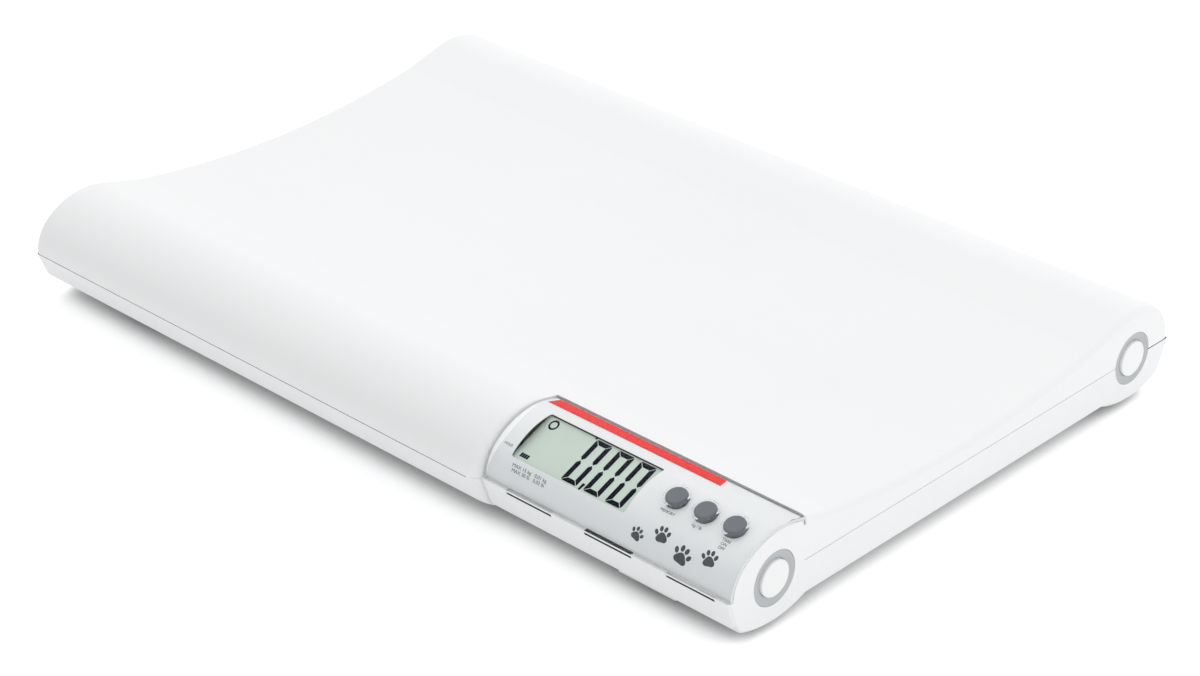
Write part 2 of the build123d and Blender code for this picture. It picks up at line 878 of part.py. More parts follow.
def bay_opening():
    """The rebate for the battery door, the opening above it and the slots for its hinge tabs."""
    belly = axis_height - belly_drop
    half_x = door_length / 2 + door_gap
    half_y = door_width / 2 + door_gap
    cuts = [
        block((bay_x - half_x, bay_x + half_x), (bay_y - half_y, bay_y + half_y), (0, door_top)),
        block(
            (bay_x - bay_length / 2, bay_x + bay_length / 2),
            (bay_y - bay_width / 2, bay_y + bay_width / 2),
            (0, floor_top + wall),
        ),
    ]
    for x in hinge_tab_centres():
        half = hinge_tab_width / 2 + door_gap
        cuts.append(block(
            (x - half, x + half),
            (door_front - hinge_tab_reach - 2 * door_gap, bay_y - bay_width / 2 - bay_wall),
            (belly + door_lip, floor_top + wall),
        ))
    back = bay_y + door_width / 2
    cuts.append(block(
        (bay_x - latch_width / 2 - door_gap, bay_x + latch_width / 2 + door_gap),
        (bay_y + bay_width / 2 + bay_wall, back + door_gap),
        (belly, floor_top + wall),
    ))
    return cuts


def hinge_tab_centres():
    """X of the door's two hinge tabs."""
    return [bay_x + side * door_length / 4 for side in (-1, 1)]


def make_battery_box():
    """The open-bottomed box over the battery opening, on the base's floor."""
    top = door_top + 2 * (battery_radius + battery_gap) + bay_wall
    outer = block(
        (bay_x - bay_length / 2 - bay_wall, bay_x + bay_length / 2 + bay_wall),
        (bay_y - bay_width / 2 - bay_wall, bay_y + bay_width / 2 + bay_wall),
        (floor_top, top),
    )
    inner = block(
        (bay_x - bay_length / 2, bay_x + bay_length / 2),
        (bay_y - bay_width / 2, bay_y + bay_width / 2),
        (0, top - bay_wall),
    )
    return outer - inner


def battery_places():
    """Middle of each battery, and which way its nub points."""
    pitch = 2 * battery_radius + battery_gap
    first = bay_y - pitch * (battery_count - 1) / 2
    z = door_top + battery_gap + battery_radius
    return [((bay_x, first + pitch * i, z), 1 if i % 2 else -1) for i in range(battery_count)]


def make_batteries():
    """Four cylindrical cells lying side by side, every other one turned round."""
    cells = []
    for centre, way in battery_places():
        body = peg(battery_radius, -battery_length / 2, battery_length / 2, 12)
        nub = peg(battery_nub_radius, battery_length / 2, battery_length / 2 + battery_nub)
        cell = Pos(0, 0, -battery_nub / 2) * (body + nub)
        cells.append(Pos(*centre) * Rot(0, 90 * way, 0) * cell)
    return Compound(children=cells)


def make_battery_contacts():
    """Sprung plates at both ends of the cells, bent so that they touch."""
    contacts = []
    reach = (battery_length + battery_nub) / 2
    for centre, way in battery_places():
        for side in (-1, 1):
            wall_x = centre[0] + side * (bay_length / 2)
            touch_x = centre[0] + side * reach
            plate = block(
                (wall_x - side * contact_thickness, wall_x),
                (centre[1] - contact_side / 2, centre[1] + contact_side / 2),
                (centre[2] - contact_side / 2, centre[2] + contact_side / 2),
            )
            tongue = block(
                (touch_x, wall_x),
                (centre[1] - battery_nub_radius, centre[1] + battery_nub_radius),
                (centre[2] - contact_thickness / 2, centre[2] + contact_thickness / 2),
            )
            contacts.append(plate + tongue)
    return Compound(children=contacts)


def make_battery_door():
    """The flush door with a chamfered front edge, two round-backed hinge tabs and a latch finger."""
    belly = axis_height - belly_drop
    half_x = door_length / 2
    back = bay_y + door_width / 2
    plate_top = door_top - door_play
    plate = block((bay_x - half_x, bay_x + half_x), (door_front, back), (belly, plate_top))
    front_edge = plate.edges().filter_by(Axis.X).sort_by(Axis.Z)[:2].sort_by(Axis.Y)[0]
    door = chamfer(front_edge, door_chamfer)
    low = hinge_axis_z - hinge_tab_thickness / 2
    for x in hinge_tab_centres():
        door += block(
            (x - hinge_tab_width / 2, x + hinge_tab_width / 2),
            (door_front - hinge_tab_reach, door_front + door_overlap - bay_wall - door_gap),
            (low, low + hinge_tab_thickness),
        )
        pin = Rot(0, 90, 0) * Cylinder(hinge_pin_radius, hinge_tab_width)
        door += Pos(x, door_front, hinge_axis_z) * pin
    finger_y = bay_y + bay_width / 2 + bay_wall + latch_gap
    door += block(
        (bay_x - latch_width / 2, bay_x + latch_width / 2),
        (finger_y, finger_y + latch_thickness),
        (belly, door_top + latch_height),
    )
    return door


names = ["tare", "unit", "memory"]
corner_names = ["front_left", "back_left", "front_right", "back_right"]
nodes = {
    "platform_cover": make_platform_cover(),
    "base_shell": make_base_shell(),
    "display_cover": make_display_cover(),
    "display_label": make_display_label(),
    "lcd_holder": make_lcd_holder(),
    "lcd_glass": make_lcd_glass(),
    "lcd_reflector": make_lcd_reflector(),
    "lcd_connectors": Compound(children=connector_solids()),
    "display_board": make_display_board(),
    "key_board": make_key_board(),
    "board_chips": make_board_chips(),
    "key_switches": make_switches(),
    "case_screws": make_case_screws(),
    "battery_box": make_battery_box(),
    "batteries": make_batteries(),
    "battery_contacts": make_battery_contacts(),
    "battery_door": make_battery_door(),
    "load_cells": make_load_cells(),
    "end_rings": make_end_rings(),
    "end_discs": make_end_discs(),
}
for name, place in zip(names, button_places):
    nodes[f"{name}_button"] = make_button(place)
    nodes[f"{name}_plunger"] = make_plunger(place)
for name, place in zip(corner_names, foot_places):
    nodes[f"{name}_foot_cup"] = make_foot_cup(place)
    nodes[f"{name}_foot_pad"] = make_foot_pad(place)

os.makedirs("parts", exist_ok=True)
for name, shape in nodes.items():
    export_step(shape, f"parts/{name}.step")
    print(name, round(shape.volume / 1000, 2), "cm3")
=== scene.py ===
"""Dresses a low digital scale for small animals: tray, base, display section, plugs and feet.

All sizes and places are in metres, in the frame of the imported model. X runs along the length
towards the display end, Y from front to back and Z up from the table.
"""

import json
import logging
from dataclasses import dataclass, field
from enum import Enum
from math import acos, asin, atan2, cos, hypot, pi, radians, sin, sqrt
from typing import Callable, Optional, Sequence, Union

import bmesh
import bpy
from mathutils import Matrix, Vector

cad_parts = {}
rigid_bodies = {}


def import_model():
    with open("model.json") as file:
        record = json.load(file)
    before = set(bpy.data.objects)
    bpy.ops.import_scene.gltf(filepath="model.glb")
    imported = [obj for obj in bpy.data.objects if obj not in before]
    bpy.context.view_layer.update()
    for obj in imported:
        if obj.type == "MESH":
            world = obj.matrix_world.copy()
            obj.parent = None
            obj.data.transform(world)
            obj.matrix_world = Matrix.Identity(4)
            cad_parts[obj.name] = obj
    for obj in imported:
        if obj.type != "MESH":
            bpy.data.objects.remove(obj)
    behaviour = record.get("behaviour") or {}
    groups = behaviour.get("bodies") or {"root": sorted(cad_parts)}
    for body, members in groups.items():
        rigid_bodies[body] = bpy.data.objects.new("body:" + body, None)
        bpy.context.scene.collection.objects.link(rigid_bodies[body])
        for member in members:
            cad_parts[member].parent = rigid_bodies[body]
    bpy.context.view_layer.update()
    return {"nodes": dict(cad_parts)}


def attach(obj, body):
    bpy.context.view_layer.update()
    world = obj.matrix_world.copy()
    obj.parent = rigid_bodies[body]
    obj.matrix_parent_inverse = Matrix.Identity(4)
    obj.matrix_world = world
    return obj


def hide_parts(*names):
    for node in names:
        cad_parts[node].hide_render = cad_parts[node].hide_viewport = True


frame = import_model()

log = logging.getLogger("scale")

Point = tuple[float, float]
Place = tuple[float, float, float]
Colour = tuple[float, float, float]
Input = Union[float, Sequence[float], bpy.types.NodeSocket]


# ---------------------------------------------------------------- modelling tools


class Piece:
    """One mesh under construction, shaped in edit mode with Blender's own operators."""

    def __init__(self, name: str) -> None:
        """Starts an empty mesh object.

        Args:
            name: The piece's name in the scene.
        """
        deselect()
        mesh = bpy.data.meshes.new(name)
        self.obj = bpy.data.objects.new(name, mesh)
        bpy.context.scene.collection.objects.link(self.obj)
        activate(self.obj)

    @classmethod
    def adopt(cls, obj: bpy.types.Object, name: str) -> "Piece":
        """Carries on with an object that an operator has made.

        Args:
            obj: The object.
            name: Its new name.

        Returns:
            The piece.
        """
        piece = cls.__new__(cls)
        piece.obj = obj
        obj.name = name
        obj.data.name = name
        return piece

    def copy(self, name: str) -> "Piece":
        """Copies the piece, with a mesh of its own.

        Args:
            name: The copy's name.

        Returns:
            The copy.
        """
        obj = self.obj.copy()
        obj.data = self.obj.data.copy()
        bpy.context.scene.collection.objects.link(obj)
        return Piece.adopt(obj, name)

    def copies(self, names: Sequence[str], places: Sequence[Matrix]) -> list["Piece"]:
        """Stands copies of the piece in several frames and removes the pattern.

        Args:
            names: The copies' names.
            places: Their frames.

        Returns:
            The copies.
        """
        pieces = [self.copy(name) for name in names]
        for piece, place in zip(pieces, places):
            piece.put(place)
        bpy.data.objects.remove(self.obj)
        return pieces

    def edit(self) -> None:
        """Enters edit mode on this piece."""
        activate(self.obj)
        bpy.ops.object.mode_set(mode="EDIT")

    def leave(self) -> None:
        """Leaves edit mode."""
        bpy.ops.object.mode_set(mode="OBJECT")

    def pick(self, kind: str, test: Callable[[Vector, Vector], bool]) -> None:
        """Selects the vertices, edges or faces that pass a test, and nothing else.

        Args:
            kind: VERT, EDGE or FACE.
            test: Takes the element's middle and its normal, or an edge's direction.
        """
        bpy.ops.mesh.select_mode(type=kind)
        bpy.ops.mesh.select_all(action="DESELECT")
        mesh = bmesh.from_edit_mesh(self.obj.data)
        mesh.normal_update()
        if kind == "VERT":
            for v in mesh.verts:
                v.select_set(test(v.co, v.normal))
        elif kind == "EDGE":
            for e in mesh.edges:
                a, b = e.verts[0].co, e.verts[1].co
                e.select_set(test((a + b) / 2, b - a))
        else:
            for f in mesh.faces:
                f.select_set(test(f.calc_center_median(), f.normal))
        mesh.select_flush_mode()
        bmesh.update_edit_mesh(self.obj.data)

    def modifier(self, kind: str, **values: object) -> None:
        """Adds a modifier and applies it.

        Args:
            kind: The modifier's type.
            **values: Its settings.
        """
        activate(self.obj)
        modifier = self.obj.modifiers.new(kind.title(), kind)
        for key, value in values.items():
            setattr(modifier, key, value)
        bpy.ops.object.modifier_apply(modifier=modifier.name)

    def cut(self, cutter: "Piece", operation: str = "DIFFERENCE") -> None:
        """Cuts another piece out of this one, or adds it, and removes that piece.

        Args:
            cutter: The other piece.
            operation: DIFFERENCE or UNION.
        """
        self.modifier("BOOLEAN", object=cutter.obj, operation=operation, solver="EXACT")
        bpy.data.objects.remove(cutter.obj)

    def smooth(self, degrees_limit: float = 30.0) -> None:
        """Shades the piece smooth up to an angle between faces.

        Args:
            degrees_limit: The largest angle, in degrees, that is shaded smooth.
        """
        activate(self.obj)
        bpy.ops.object.shade_smooth_by_angle(angle=radians(degrees_limit))
        self.modifier("WEIGHTED_NORMAL", keep_sharp=True, weight=100)

    def settle(self) -> None:
        """Moves the object's place into its mesh: at the origin, unturned and unscaled."""
        activate(self.obj)
        bpy.ops.object.transform_apply(location=True, rotation=True, scale=True)

    def put(self, place: Matrix) -> None:
        """Stands the piece in a frame and applies its place."""
        self.obj.matrix_world = place
        self.settle()

    def whole_faces(self, degrees_limit: float) -> None:
        """Turns flat triangles into whole faces.

        Args:
            degrees_limit: The largest angle, in degrees, that counts as flat.
        """
        self.edit()
        bpy.ops.mesh.select_all(action="SELECT")
        bpy.ops.mesh.dissolve_limited(angle_limit=radians(degrees_limit))
        self.leave()

    def tint(self, finish: "Finish", test: Callable[[Vector, Vector], bool]) -> None:
        """Gives the faces that pass a test a finish of their own.

        Args:
            finish: The finish.
            test: Takes a face's middle and its normal.
        """
        self.obj.data.materials.append(finish.material())
        self.edit()
        self.pick("FACE", test)
        self.obj.active_material_index = len(self.obj.data.materials) - 1
        bpy.ops.object.material_slot_assign()
        self.leave()

    def deliver(self, finish: "Finish", slot: str, body: str, *replaces: str) -> None:
        """Gives the piece its finish, its body and the nodes that it stands for.

        Args:
            finish: The finish that makes its material.
            slot: The record's material slot; not used.
            body: The body that it rides on.
            *replaces: The nodes that it stands for.
        """
        self.settle()
        self.obj.data.materials.clear()
        self.obj.data.materials.append(finish.material())
        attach(self.obj, body)
        if replaces:
            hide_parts(*replaces)
        log.info("%s: %d faces on %s", self.obj.name, len(self.obj.data.polygons), body)


def deselect() -> None:
    """Deselects every object, in object mode."""
    if bpy.context.object and bpy.context.object.mode != "OBJECT":
        bpy.ops.object.mode_set(mode="OBJECT")
    bpy.ops.object.select_all(action="DESELECT")


def activate(obj: bpy.types.Object) -> None:
    """Makes one object the only selected and active one."""
    deselect()
    obj.select_set(True)
    bpy.context.view_layer.objects.active = obj


def block(name: str, low: Sequence[float], high: Sequence[float]) -> Piece:
    """A box between two corners.

    Args:
        name: The piece's name.
        low: Its lowest corner.
        high: Its highest corner.

    Returns:
        The piece, with its place applied.
    """
    deselect()
    middle = [(a + b) / 2 for a, b in zip(low, high)]
    size = [b - a for a, b in zip(low, high)]
    bpy.ops.mesh.primitive_cube_add(size=1.0, location=middle, scale=size)
    piece = Piece.adopt(bpy.context.object, name)
    piece.settle()
    return piece


def drum(
    name: str, place: Matrix, radius: float, low: float, high: float, sides: int = 96
) -> Piece:
    """A closed cylinder along the Z axis of a place.

    Args:
        name: The piece's name.
        place: The frame that it stands in.
        radius: Its radius.
        low: The lower end along that Z.
        high: The upper end along that Z.
        sides: The number of sides.

    Returns:
        The piece, with its place applied.
    """
    deselect()
    bpy.ops.mesh.primitive_cylinder_add(vertices=sides, radius=radius, depth=high - low)
    piece = Piece.adopt(bpy.context.object, name)
    piece.put(place @ Matrix.Translation((0.0, 0.0, (low + high) / 2)))
    return piece


def node_copy(name: str, *nodes: str) -> Piece:
    """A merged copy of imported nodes, to be softened and finished.

    Args:
        name: The new piece's name.
        *nodes: The nodes to copy.

    Returns:
        The piece.
    """
    piece = Piece(name)
    mesh = bmesh.new()
    for node in nodes:
        mesh.from_mesh(frame["nodes"][node].data)
    bmesh.ops.remove_doubles(mesh, verts=mesh.verts, dist=2e-6)
    mesh.to_mesh(piece.obj.data)
    mesh.free()
    return piece


def soften(piece: Piece, width: float, segments: int = 3) -> None:
    """Turns flat triangles into whole faces and rounds the sharp edges of a copy.

    Args:
        piece: The copy.
        width: The width of the rounding.
        segments: The segments of the rounding.
    """
    piece.whole_faces(0.5)
    piece.modifier(
        "BEVEL", width=width, segments=segments, limit_method="ANGLE", angle_limit=radians(32.0)
    )
    piece.smooth(40.0)


def draw_on(move: Sequence[float]) -> None:
    """Extrudes the selected vertex by a move."""
    bpy.ops.mesh.extrude_region_move(TRANSFORM_OT_translate={"value": move})


def trace(points: Sequence[Sequence[float]], size: float = 1e-3) -> None:
    """Draws a chain of vertices in edit mode and leaves the last one selected.

    Args:
        points: The vertices' places, in order.
        size: The side of the small plane that is merged into the first vertex.
    """
    bpy.ops.mesh.select_mode(type="VERT")
    bpy.ops.mesh.select_all(action="DESELECT")
    bpy.ops.mesh.primitive_plane_add(size=size, location=points[0])
    bpy.ops.mesh.merge(type="CENTER")
    for start, end in zip(points, points[1:]):
        draw_on(tuple(b - a for a, b in zip(start, end)))


def flat_shapes(name: str, shapes: Sequence[Sequence[Point]]) -> Piece:
    """Flat faces in the XY plane, all in one piece and facing up.

    Args:
        name: The piece's name.
        shapes: The corners of each face, in order.

    Returns:
        The piece.
    """
    piece = Piece(name)
    piece.edit()
    for corners in shapes:
        trace([(x, y, 0.0) for x, y in corners], 1e-4)
        bpy.ops.mesh.select_linked()
        bpy.ops.mesh.edge_face_add()
    piece.pick("FACE", lambda p, n: n.z < 0)
    bpy.ops.mesh.flip_normals()
    piece.leave()
    return piece


def joined(name: str, pieces: Sequence[Piece]) -> Piece:
    """Joins several pieces into one.

    Args:
        name: The joined piece's name.
        pieces: The pieces.

    Returns:
        The joined piece.
    """
    deselect()
    for piece in pieces:
        piece.obj.select_set(True)
    bpy.context.view_layer.objects.active = pieces[0].obj
    bpy.ops.object.join()
    return Piece.adopt(bpy.context.object, name)


class Pen:
    """Draws one chain of vertices in the plane across the beams, at one X."""

    def __init__(self, x: float, y: float, z: float) -> None:
        """Starts the chain with one vertex, in edit mode.

        Args:
            x: The plane's X.
            y: The first vertex's Y.
            z: The first vertex's Z.
        """
        self.x = x
        self.at = (y, z)
        trace([(x, y, z)])

    def line(self, y: float, z: float) -> None:
        """Draws a straight stretch to a point."""
        draw_on((0.0, y - self.at[0], z - self.at[1]))
        self.at = (y, z)

    def arc(self, centre: Point, turn: float, steps: int) -> None:
        """Draws an arc round a centre.

        Args:
            centre: The centre's Y and Z.
            turn: The angle, in radians, positive from Y towards Z.
            steps: The number of stretches.
        """
        bpy.ops.mesh.spin(
            steps=steps, angle=-turn, center=(self.x, centre[0], centre[1]), axis=(1.0, 0.0, 0.0)
        )
        dy, dz = self.at[0] - centre[0], self.at[1] - centre[1]
        self.at = (
            centre[0] + dy * cos(turn) - dz * sin(turn),
            centre[1] + dy * sin(turn) + dz * cos(turn),
        )


def skin(piece: Piece, stations: Sequence[float]) -> None:
    """Bridges the chains drawn at successive places along X.

    Args:
        piece: The piece, in edit mode.
        stations: The chains' X, in order.
    """
    near = 1e-6
    for a, b in zip(stations, stations[1:]):
        piece.pick(
            "EDGE",
            lambda m, d: abs(d.x) < near and (abs(m.x - a) < near or abs(m.x - b) < near),
        )
        bpy.ops.mesh.bridge_edge_loops()


def cap(piece: Piece, x: float) -> None:
    """Closes the end of a skin with one face.

    Args:
        piece: The piece, in edit mode.
        x: The end's X.
    """
    piece.pick("VERT", lambda p, n: abs(p.x - x) < 1e-6)
    bpy.ops.mesh.edge_face_add()


def face_outwards(piece: Piece, closed: bool = True) -> None:
    """Turns all faces outwards.

    Args:
        piece: The piece, in edit mode.
        closed: Whether the shell is closed. An open one is turned so that its top faces up.
    """
    bpy.ops.mesh.select_mode(type="FACE")
    bpy.ops.mesh.select_all(action="SELECT")
    bpy.ops.mesh.normals_make_consistent(inside=False)
    if not closed:
        mesh = bmesh.from_edit_mesh(piece.obj.data)
        mesh.normal_update()
        top = max(mesh.faces, key=lambda f: f.calc_center_median().z)
        if top.normal.z < 0:
            bpy.ops.mesh.flip_normals()


# ---------------------------------------------------------------- the shared section


@dataclass(frozen=True)
class BeamTop:
    """The top of one beam in section: a nose arc, a crest arc and a slope down to the dish.

    Distances run outwards from the beam's axis, and heights upwards from the parting plane.
    """

    axis: float
    side: int
    reach: float
    rise: float
    nose_radius: float
    slope_out: float
    slope_up: float
    parting: float = 0.032

    @property
    def across(self) -> float:
        """How far the nose's centre lies from the axis."""
        return self.reach - self.nose_radius

    @property
    def crest_radius(self) -> float:
        """The radius of the crest arc, which meets the nose arc without a corner."""
        square = self.across**2 + self.rise**2 - self.nose_radius**2
        return square / (2 * (self.rise - self.nose_radius))

    @property
    def crest_z(self) -> float:
        """The height of the crest arc's centre over the parting plane."""
        return self.rise - self.crest_radius

    @property
    def meet(self) -> float:
        """The angle at which nose and crest meet."""
        return atan2(-self.crest_z, self.across)

    @property
    def leave(self) -> float:
        """The angle at which the slope leaves the crest."""
        up = self.slope_up - self.crest_z
        return atan2(up, self.slope_out) - acos(self.crest_radius / hypot(self.slope_out, up))

    def placed(self, out: float, up: float) -> Point:
        """A point of the section in the model's Y and Z."""
        return self.axis + self.side * out, self.parting + up

    def nose_centre(self) -> Point:
        """The nose arc's centre in Y and Z."""
        return self.placed(self.across, 0.0)

    def crest_centre(self) -> Point:
        """The crest arc's centre in Y and Z."""
        return self.placed(0.0, self.crest_z)

    def nose_at(self, angle: float, inset: float = 0.0) -> Point:
        """A point of the nose arc, or of its parallel inside, in Y and Z."""
        radius = self.nose_radius - inset
        return self.placed(self.across + radius * cos(angle), radius * sin(angle))

    def crest_at(self, angle: float, inset: float = 0.0) -> Point:
        """A point of the crest arc, or of its parallel inside, in Y and Z."""
        radius = self.crest_radius - inset
        return self.placed(radius * cos(angle), self.crest_z + radius * sin(angle))

    def slope_z(self, y: float, inset: float = 0.0) -> float:
        """The slope's height in Z at a Y."""
        touch_y, touch_z = self.crest_at(self.leave, inset)
        out = self.side * (y - touch_y)
        return touch_z - out * cos(self.leave) / sin(self.leave)

    def crest_top(self, y: float, inset: float = 0.0) -> float:
        """The crest arc's height in Z at a Y."""
        out = (y - self.axis) * self.side
        return self.parting + self.crest_z + sqrt((self.crest_radius - inset) ** 2 - out**2)


@dataclass(frozen=True)
class Layout:
    """Sizes that several sub-assemblies share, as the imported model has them."""

    half_length: float = 0.281
    parting: float = 0.032
    front_axis: float = -0.15525
    front_reach: float = 0.0403
    front_nose: float = 0.0266
    back_axis: float = 0.15875
    back_reach: float = 0.0368
    back_nose: float = 0.0283
    crest_rise: float = 0.0315
    dish_centre: float = 0.00175
    dish_up: float = 0.012
    crease_offset: float = 0.115
    crease_up: float = 0.0218
    crease_blend: float = 0.060
    end_round: float = 0.005
    pocket_depth: float = 0.0034
    lip_width: float = 0.007
    lip_drop: float = 0.0012
    display_start: float = 0.103
    display_shift: float = 0.004
    display_reach: float = 0.0384
    display_rise: float = 0.0304
    display_nose: float = 0.0259
    display_top: float = -0.13125
    cover_thickness: float = 0.0022
    label_thickness: float = 0.00035
    layer_gap: float = 0.0001
    window_length: float = 0.0814
    window_right: float = 0.0824
    window_low: float = -0.0261
    window_high: float = 0.0048
    glass_drop: float = 0.0013
    button_count: int = 3
    button_first: float = 0.0186
    button_pitch: float = 0.020
    button_drop: float = 0.0102

    @property
    def label_inset(self) -> float:
        """How deep the printed sheet lies under the display surface."""
        return self.cover_thickness + self.layer_gap

    def dish(self) -> tuple[Point, float]:
        """The dish arc's centre in Y and Z, and its radius."""
        sink = self.crease_up - self.dish_up
        radius = (self.crease_offset**2 + sink**2) / (2 * sink)
        return (self.dish_centre, self.parting + self.dish_up + radius), radius

    def front(self) -> BeamTop:
        """The front beam's top."""
        out = self.dish_centre - self.crease_offset - self.front_axis
        nose = self.front_nose
        return BeamTop(
            self.front_axis, -1, self.front_reach, self.crest_rise, nose, -out, self.crease_up
        )

    def back(self) -> BeamTop:
        """The back beam's top."""
        out = self.dish_centre + self.crease_offset - self.back_axis
        nose = self.back_nose
        return BeamTop(
            self.back_axis, 1, self.back_reach, self.crest_rise, nose, out, self.crease_up
        )

    def display(self, part: float = 1.0, drop: float = 0.0) -> BeamTop:
        """The front beam's top, part of the way in to the display's outline.

        Args:
            part: 0 at the beam's own outline, 1 at the display's.
            drop: How far the outline is sunk.

        Returns:
            The section.
        """
        axis = self.front_axis + self.display_shift * part
        reach = self.front_reach + (self.display_reach - self.front_reach) * part - drop
        rise = self.crest_rise + (self.display_rise - self.crest_rise) * part - drop
        nose = self.front_nose + (self.display_nose - self.front_nose) * part - drop
        edge = self.front().slope_z(self.display_top) - self.parting
        return BeamTop(axis, -1, reach, rise, nose, axis - self.display_top, edge)

    def on_display(self, s: float, inset: float) -> Point:
        """Y and Z of a point of the display section.

        Args:
            s: How far up the outer face it lies from the parting plane, along the section.
            inset: How deep under that face it lies.

        Returns:
            Its Y and Z.
        """
        surface = self.display()
        on_nose = surface.nose_radius * surface.meet
        on_crest = surface.crest_radius * (surface.leave - surface.meet)
        if s < on_nose:
            return surface.nose_at(s / surface.nose_radius, inset)
        if s < on_nose + on_crest:
            return surface.crest_at(surface.meet + (s - on_nose) / surface.crest_radius, inset)
        y, z = surface.crest_at(surface.leave, inset)
        rest = s - on_nose - on_crest
        return y + rest * sin(surface.leave), z + rest * cos(surface.leave)

    def window_place(self) -> Matrix:
        """The frame on the chord between the window's long edges, with Z pointing out."""
        low, high = self.window_edges()
        x = self.half_length - self.window_right - self.window_length / 2
        middle = Vector((x, (low[0] + high[0]) / 2, (low[1] + high[1]) / 2))
        tilt = atan2(high[1] - low[1], high[0] - low[0])
        return Matrix.Translation(middle) @ Matrix.Rotation(tilt, 4, "X")

    def window_edges(self) -> tuple[Point, Point]:
        """Y and Z of the window's lower and upper edge, on the printed sheet."""
        surface = self.display()
        low_y = self.front_axis + self.window_low
        high_y = self.front_axis + self.window_high
        inset = self.label_inset
        return (low_y, surface.crest_top(low_y, inset)), (high_y, surface.crest_top(high_y, inset))

    def window_height(self) -> float:
        """The width of the window along the chord."""
        low, high = self.window_edges()
        return hypot(high[0] - low[0], high[1] - low[1])

    def window_block(
        self, name: str, along: float, across: float, low: float, high: float
    ) -> Piece:
        """A box over the window.

        Args:
            name: The piece's name.
            along: How far it reaches past the window's ends.
            across: How far it reaches past the window's long edges.
            low: Its lower end, along the Z of the window's frame.
            high: Its upper end.

        Returns:
            The piece, in place.
        """
        x, y = self.window_length / 2 + along, self.window_height() / 2 + across
        piece = block(name, (-x, -y, low), (x, y, high))
        piece.put(self.window_place())
        return piece

    def button_places(self) -> list[Matrix]:
        """The frames of the three buttons on the display surface, from right to left."""
        surface = self.display()
        y = self.front_axis - self.button_drop
        tilt = asin((surface.axis - y) / surface.crest_radius)
        z = surface.crest_top(y)
        right = self.half_length - self.button_first
        return [
            Matrix.Translation((right - self.button_pitch * i, y, z))
            @ Matrix.Rotation(tilt, 4, "X")
            for i in range(self.button_count)
        ]


# ---------------------------------------------------------------- finishes


class Group(Enum):
    """The shared surface effects."""

    GRAIN = "moulded_grain"
    MOTTLE = "soft_mottle"


def fill(node: bpy.types.Node, inputs: dict[Union[str, int], Input]) -> None:
    """Sets or links the inputs of a node.

    Args:
        node: The node.
        inputs: A value, or the output that is linked there, for each input.
    """
    for key, value in inputs.items():
        if isinstance(value, bpy.types.NodeSocket):
            node.id_data.links.new(value, node.inputs[key])
        else:
            node.inputs[key].default_value = value


def add_node(
    tree: bpy.types.NodeTree,
    kind: str,
    inputs: Optional[dict[Union[str, int], Input]] = None,
    **settings: object,
) -> bpy.types.Node:
    """Adds a shader node.

    Args:
        tree: The nodes that it joins.
        kind: Its type, without the word ShaderNode.
        inputs: A value, or the output that is linked there, for each input.
        **settings: Its own settings, which are made first.

    Returns:
        The node.
    """
    node = tree.nodes.new(f"ShaderNode{kind}")
    for key, value in settings.items():
        setattr(node, key, value)
    fill(node, inputs or {})
    return node


def maths(tree: bpy.types.NodeTree, operation: str, *terms: Input) -> bpy.types.NodeSocket:
    """Adds a sum.

    Args:
        tree: The nodes that it joins.
        operation: The kind of sum.
        *terms: Its terms, values or outputs.

    Returns:
        The output with its result.
    """
    return add_node(tree, "Math", dict(enumerate(terms)), operation=operation).outputs[0]


def let_through(tree: bpy.types.NodeTree, where: bpy.types.NodeSocket) -> None:
    """Lets rays pass a material where a mask is white.

    Args:
        tree: The material's nodes.
        where: The mask.
    """
    solid = tree.nodes["Principled BSDF"].outputs["BSDF"]
    passing = add_node(tree, "BsdfTransparent").outputs["BSDF"]
    mix = add_node(tree, "MixShader", {"Fac": where, 1: solid, 2: passing})
    fill(tree.nodes["Material Output"], {"Surface": mix.outputs["Shader"]})


def new_group(kind: Group) -> bpy.types.NodeTree:
    """Builds a shared effect once and hands it out after that.

    Args:
        kind: Which effect.

    Returns:
        Its node tree.
    """
    made = bpy.data.node_groups.get(kind.value)
    if made:
        return made
    tree = bpy.data.node_groups.new(kind.value, "ShaderNodeTree")
    grainy = kind is Group.GRAIN
    result = "Height" if grainy else "Value"
    for name in ("Scale", "Amount") if grainy else ("Scale", "Amount", "Base"):
        tree.interface.new_socket(name, in_out="INPUT", socket_type="NodeSocketFloat")
    tree.interface.new_socket(result, in_out="OUTPUT", socket_type="NodeSocketFloat")
    entry = tree.nodes.new("NodeGroupInput")
    leave = tree.nodes.new("NodeGroupOutput")
    place = add_node(tree, "TexCoord").outputs["Object"]
    detail = 2.0 if grainy else 4.0
    inputs = {"Vector": place, "Scale": entry.outputs["Scale"], "Detail": detail}
    noise = add_node(tree, "TexNoise", inputs).outputs["Fac"]
    amount = entry.outputs["Amount"]
    if grainy:
        value = maths(tree, "MULTIPLY", noise, amount)
    else:
        centred = maths(tree, "SUBTRACT", noise, 0.5)
        value = maths(tree, "MULTIPLY_ADD", centred, amount, entry.outputs["Base"])
    fill(leave, {result: value})
    return tree


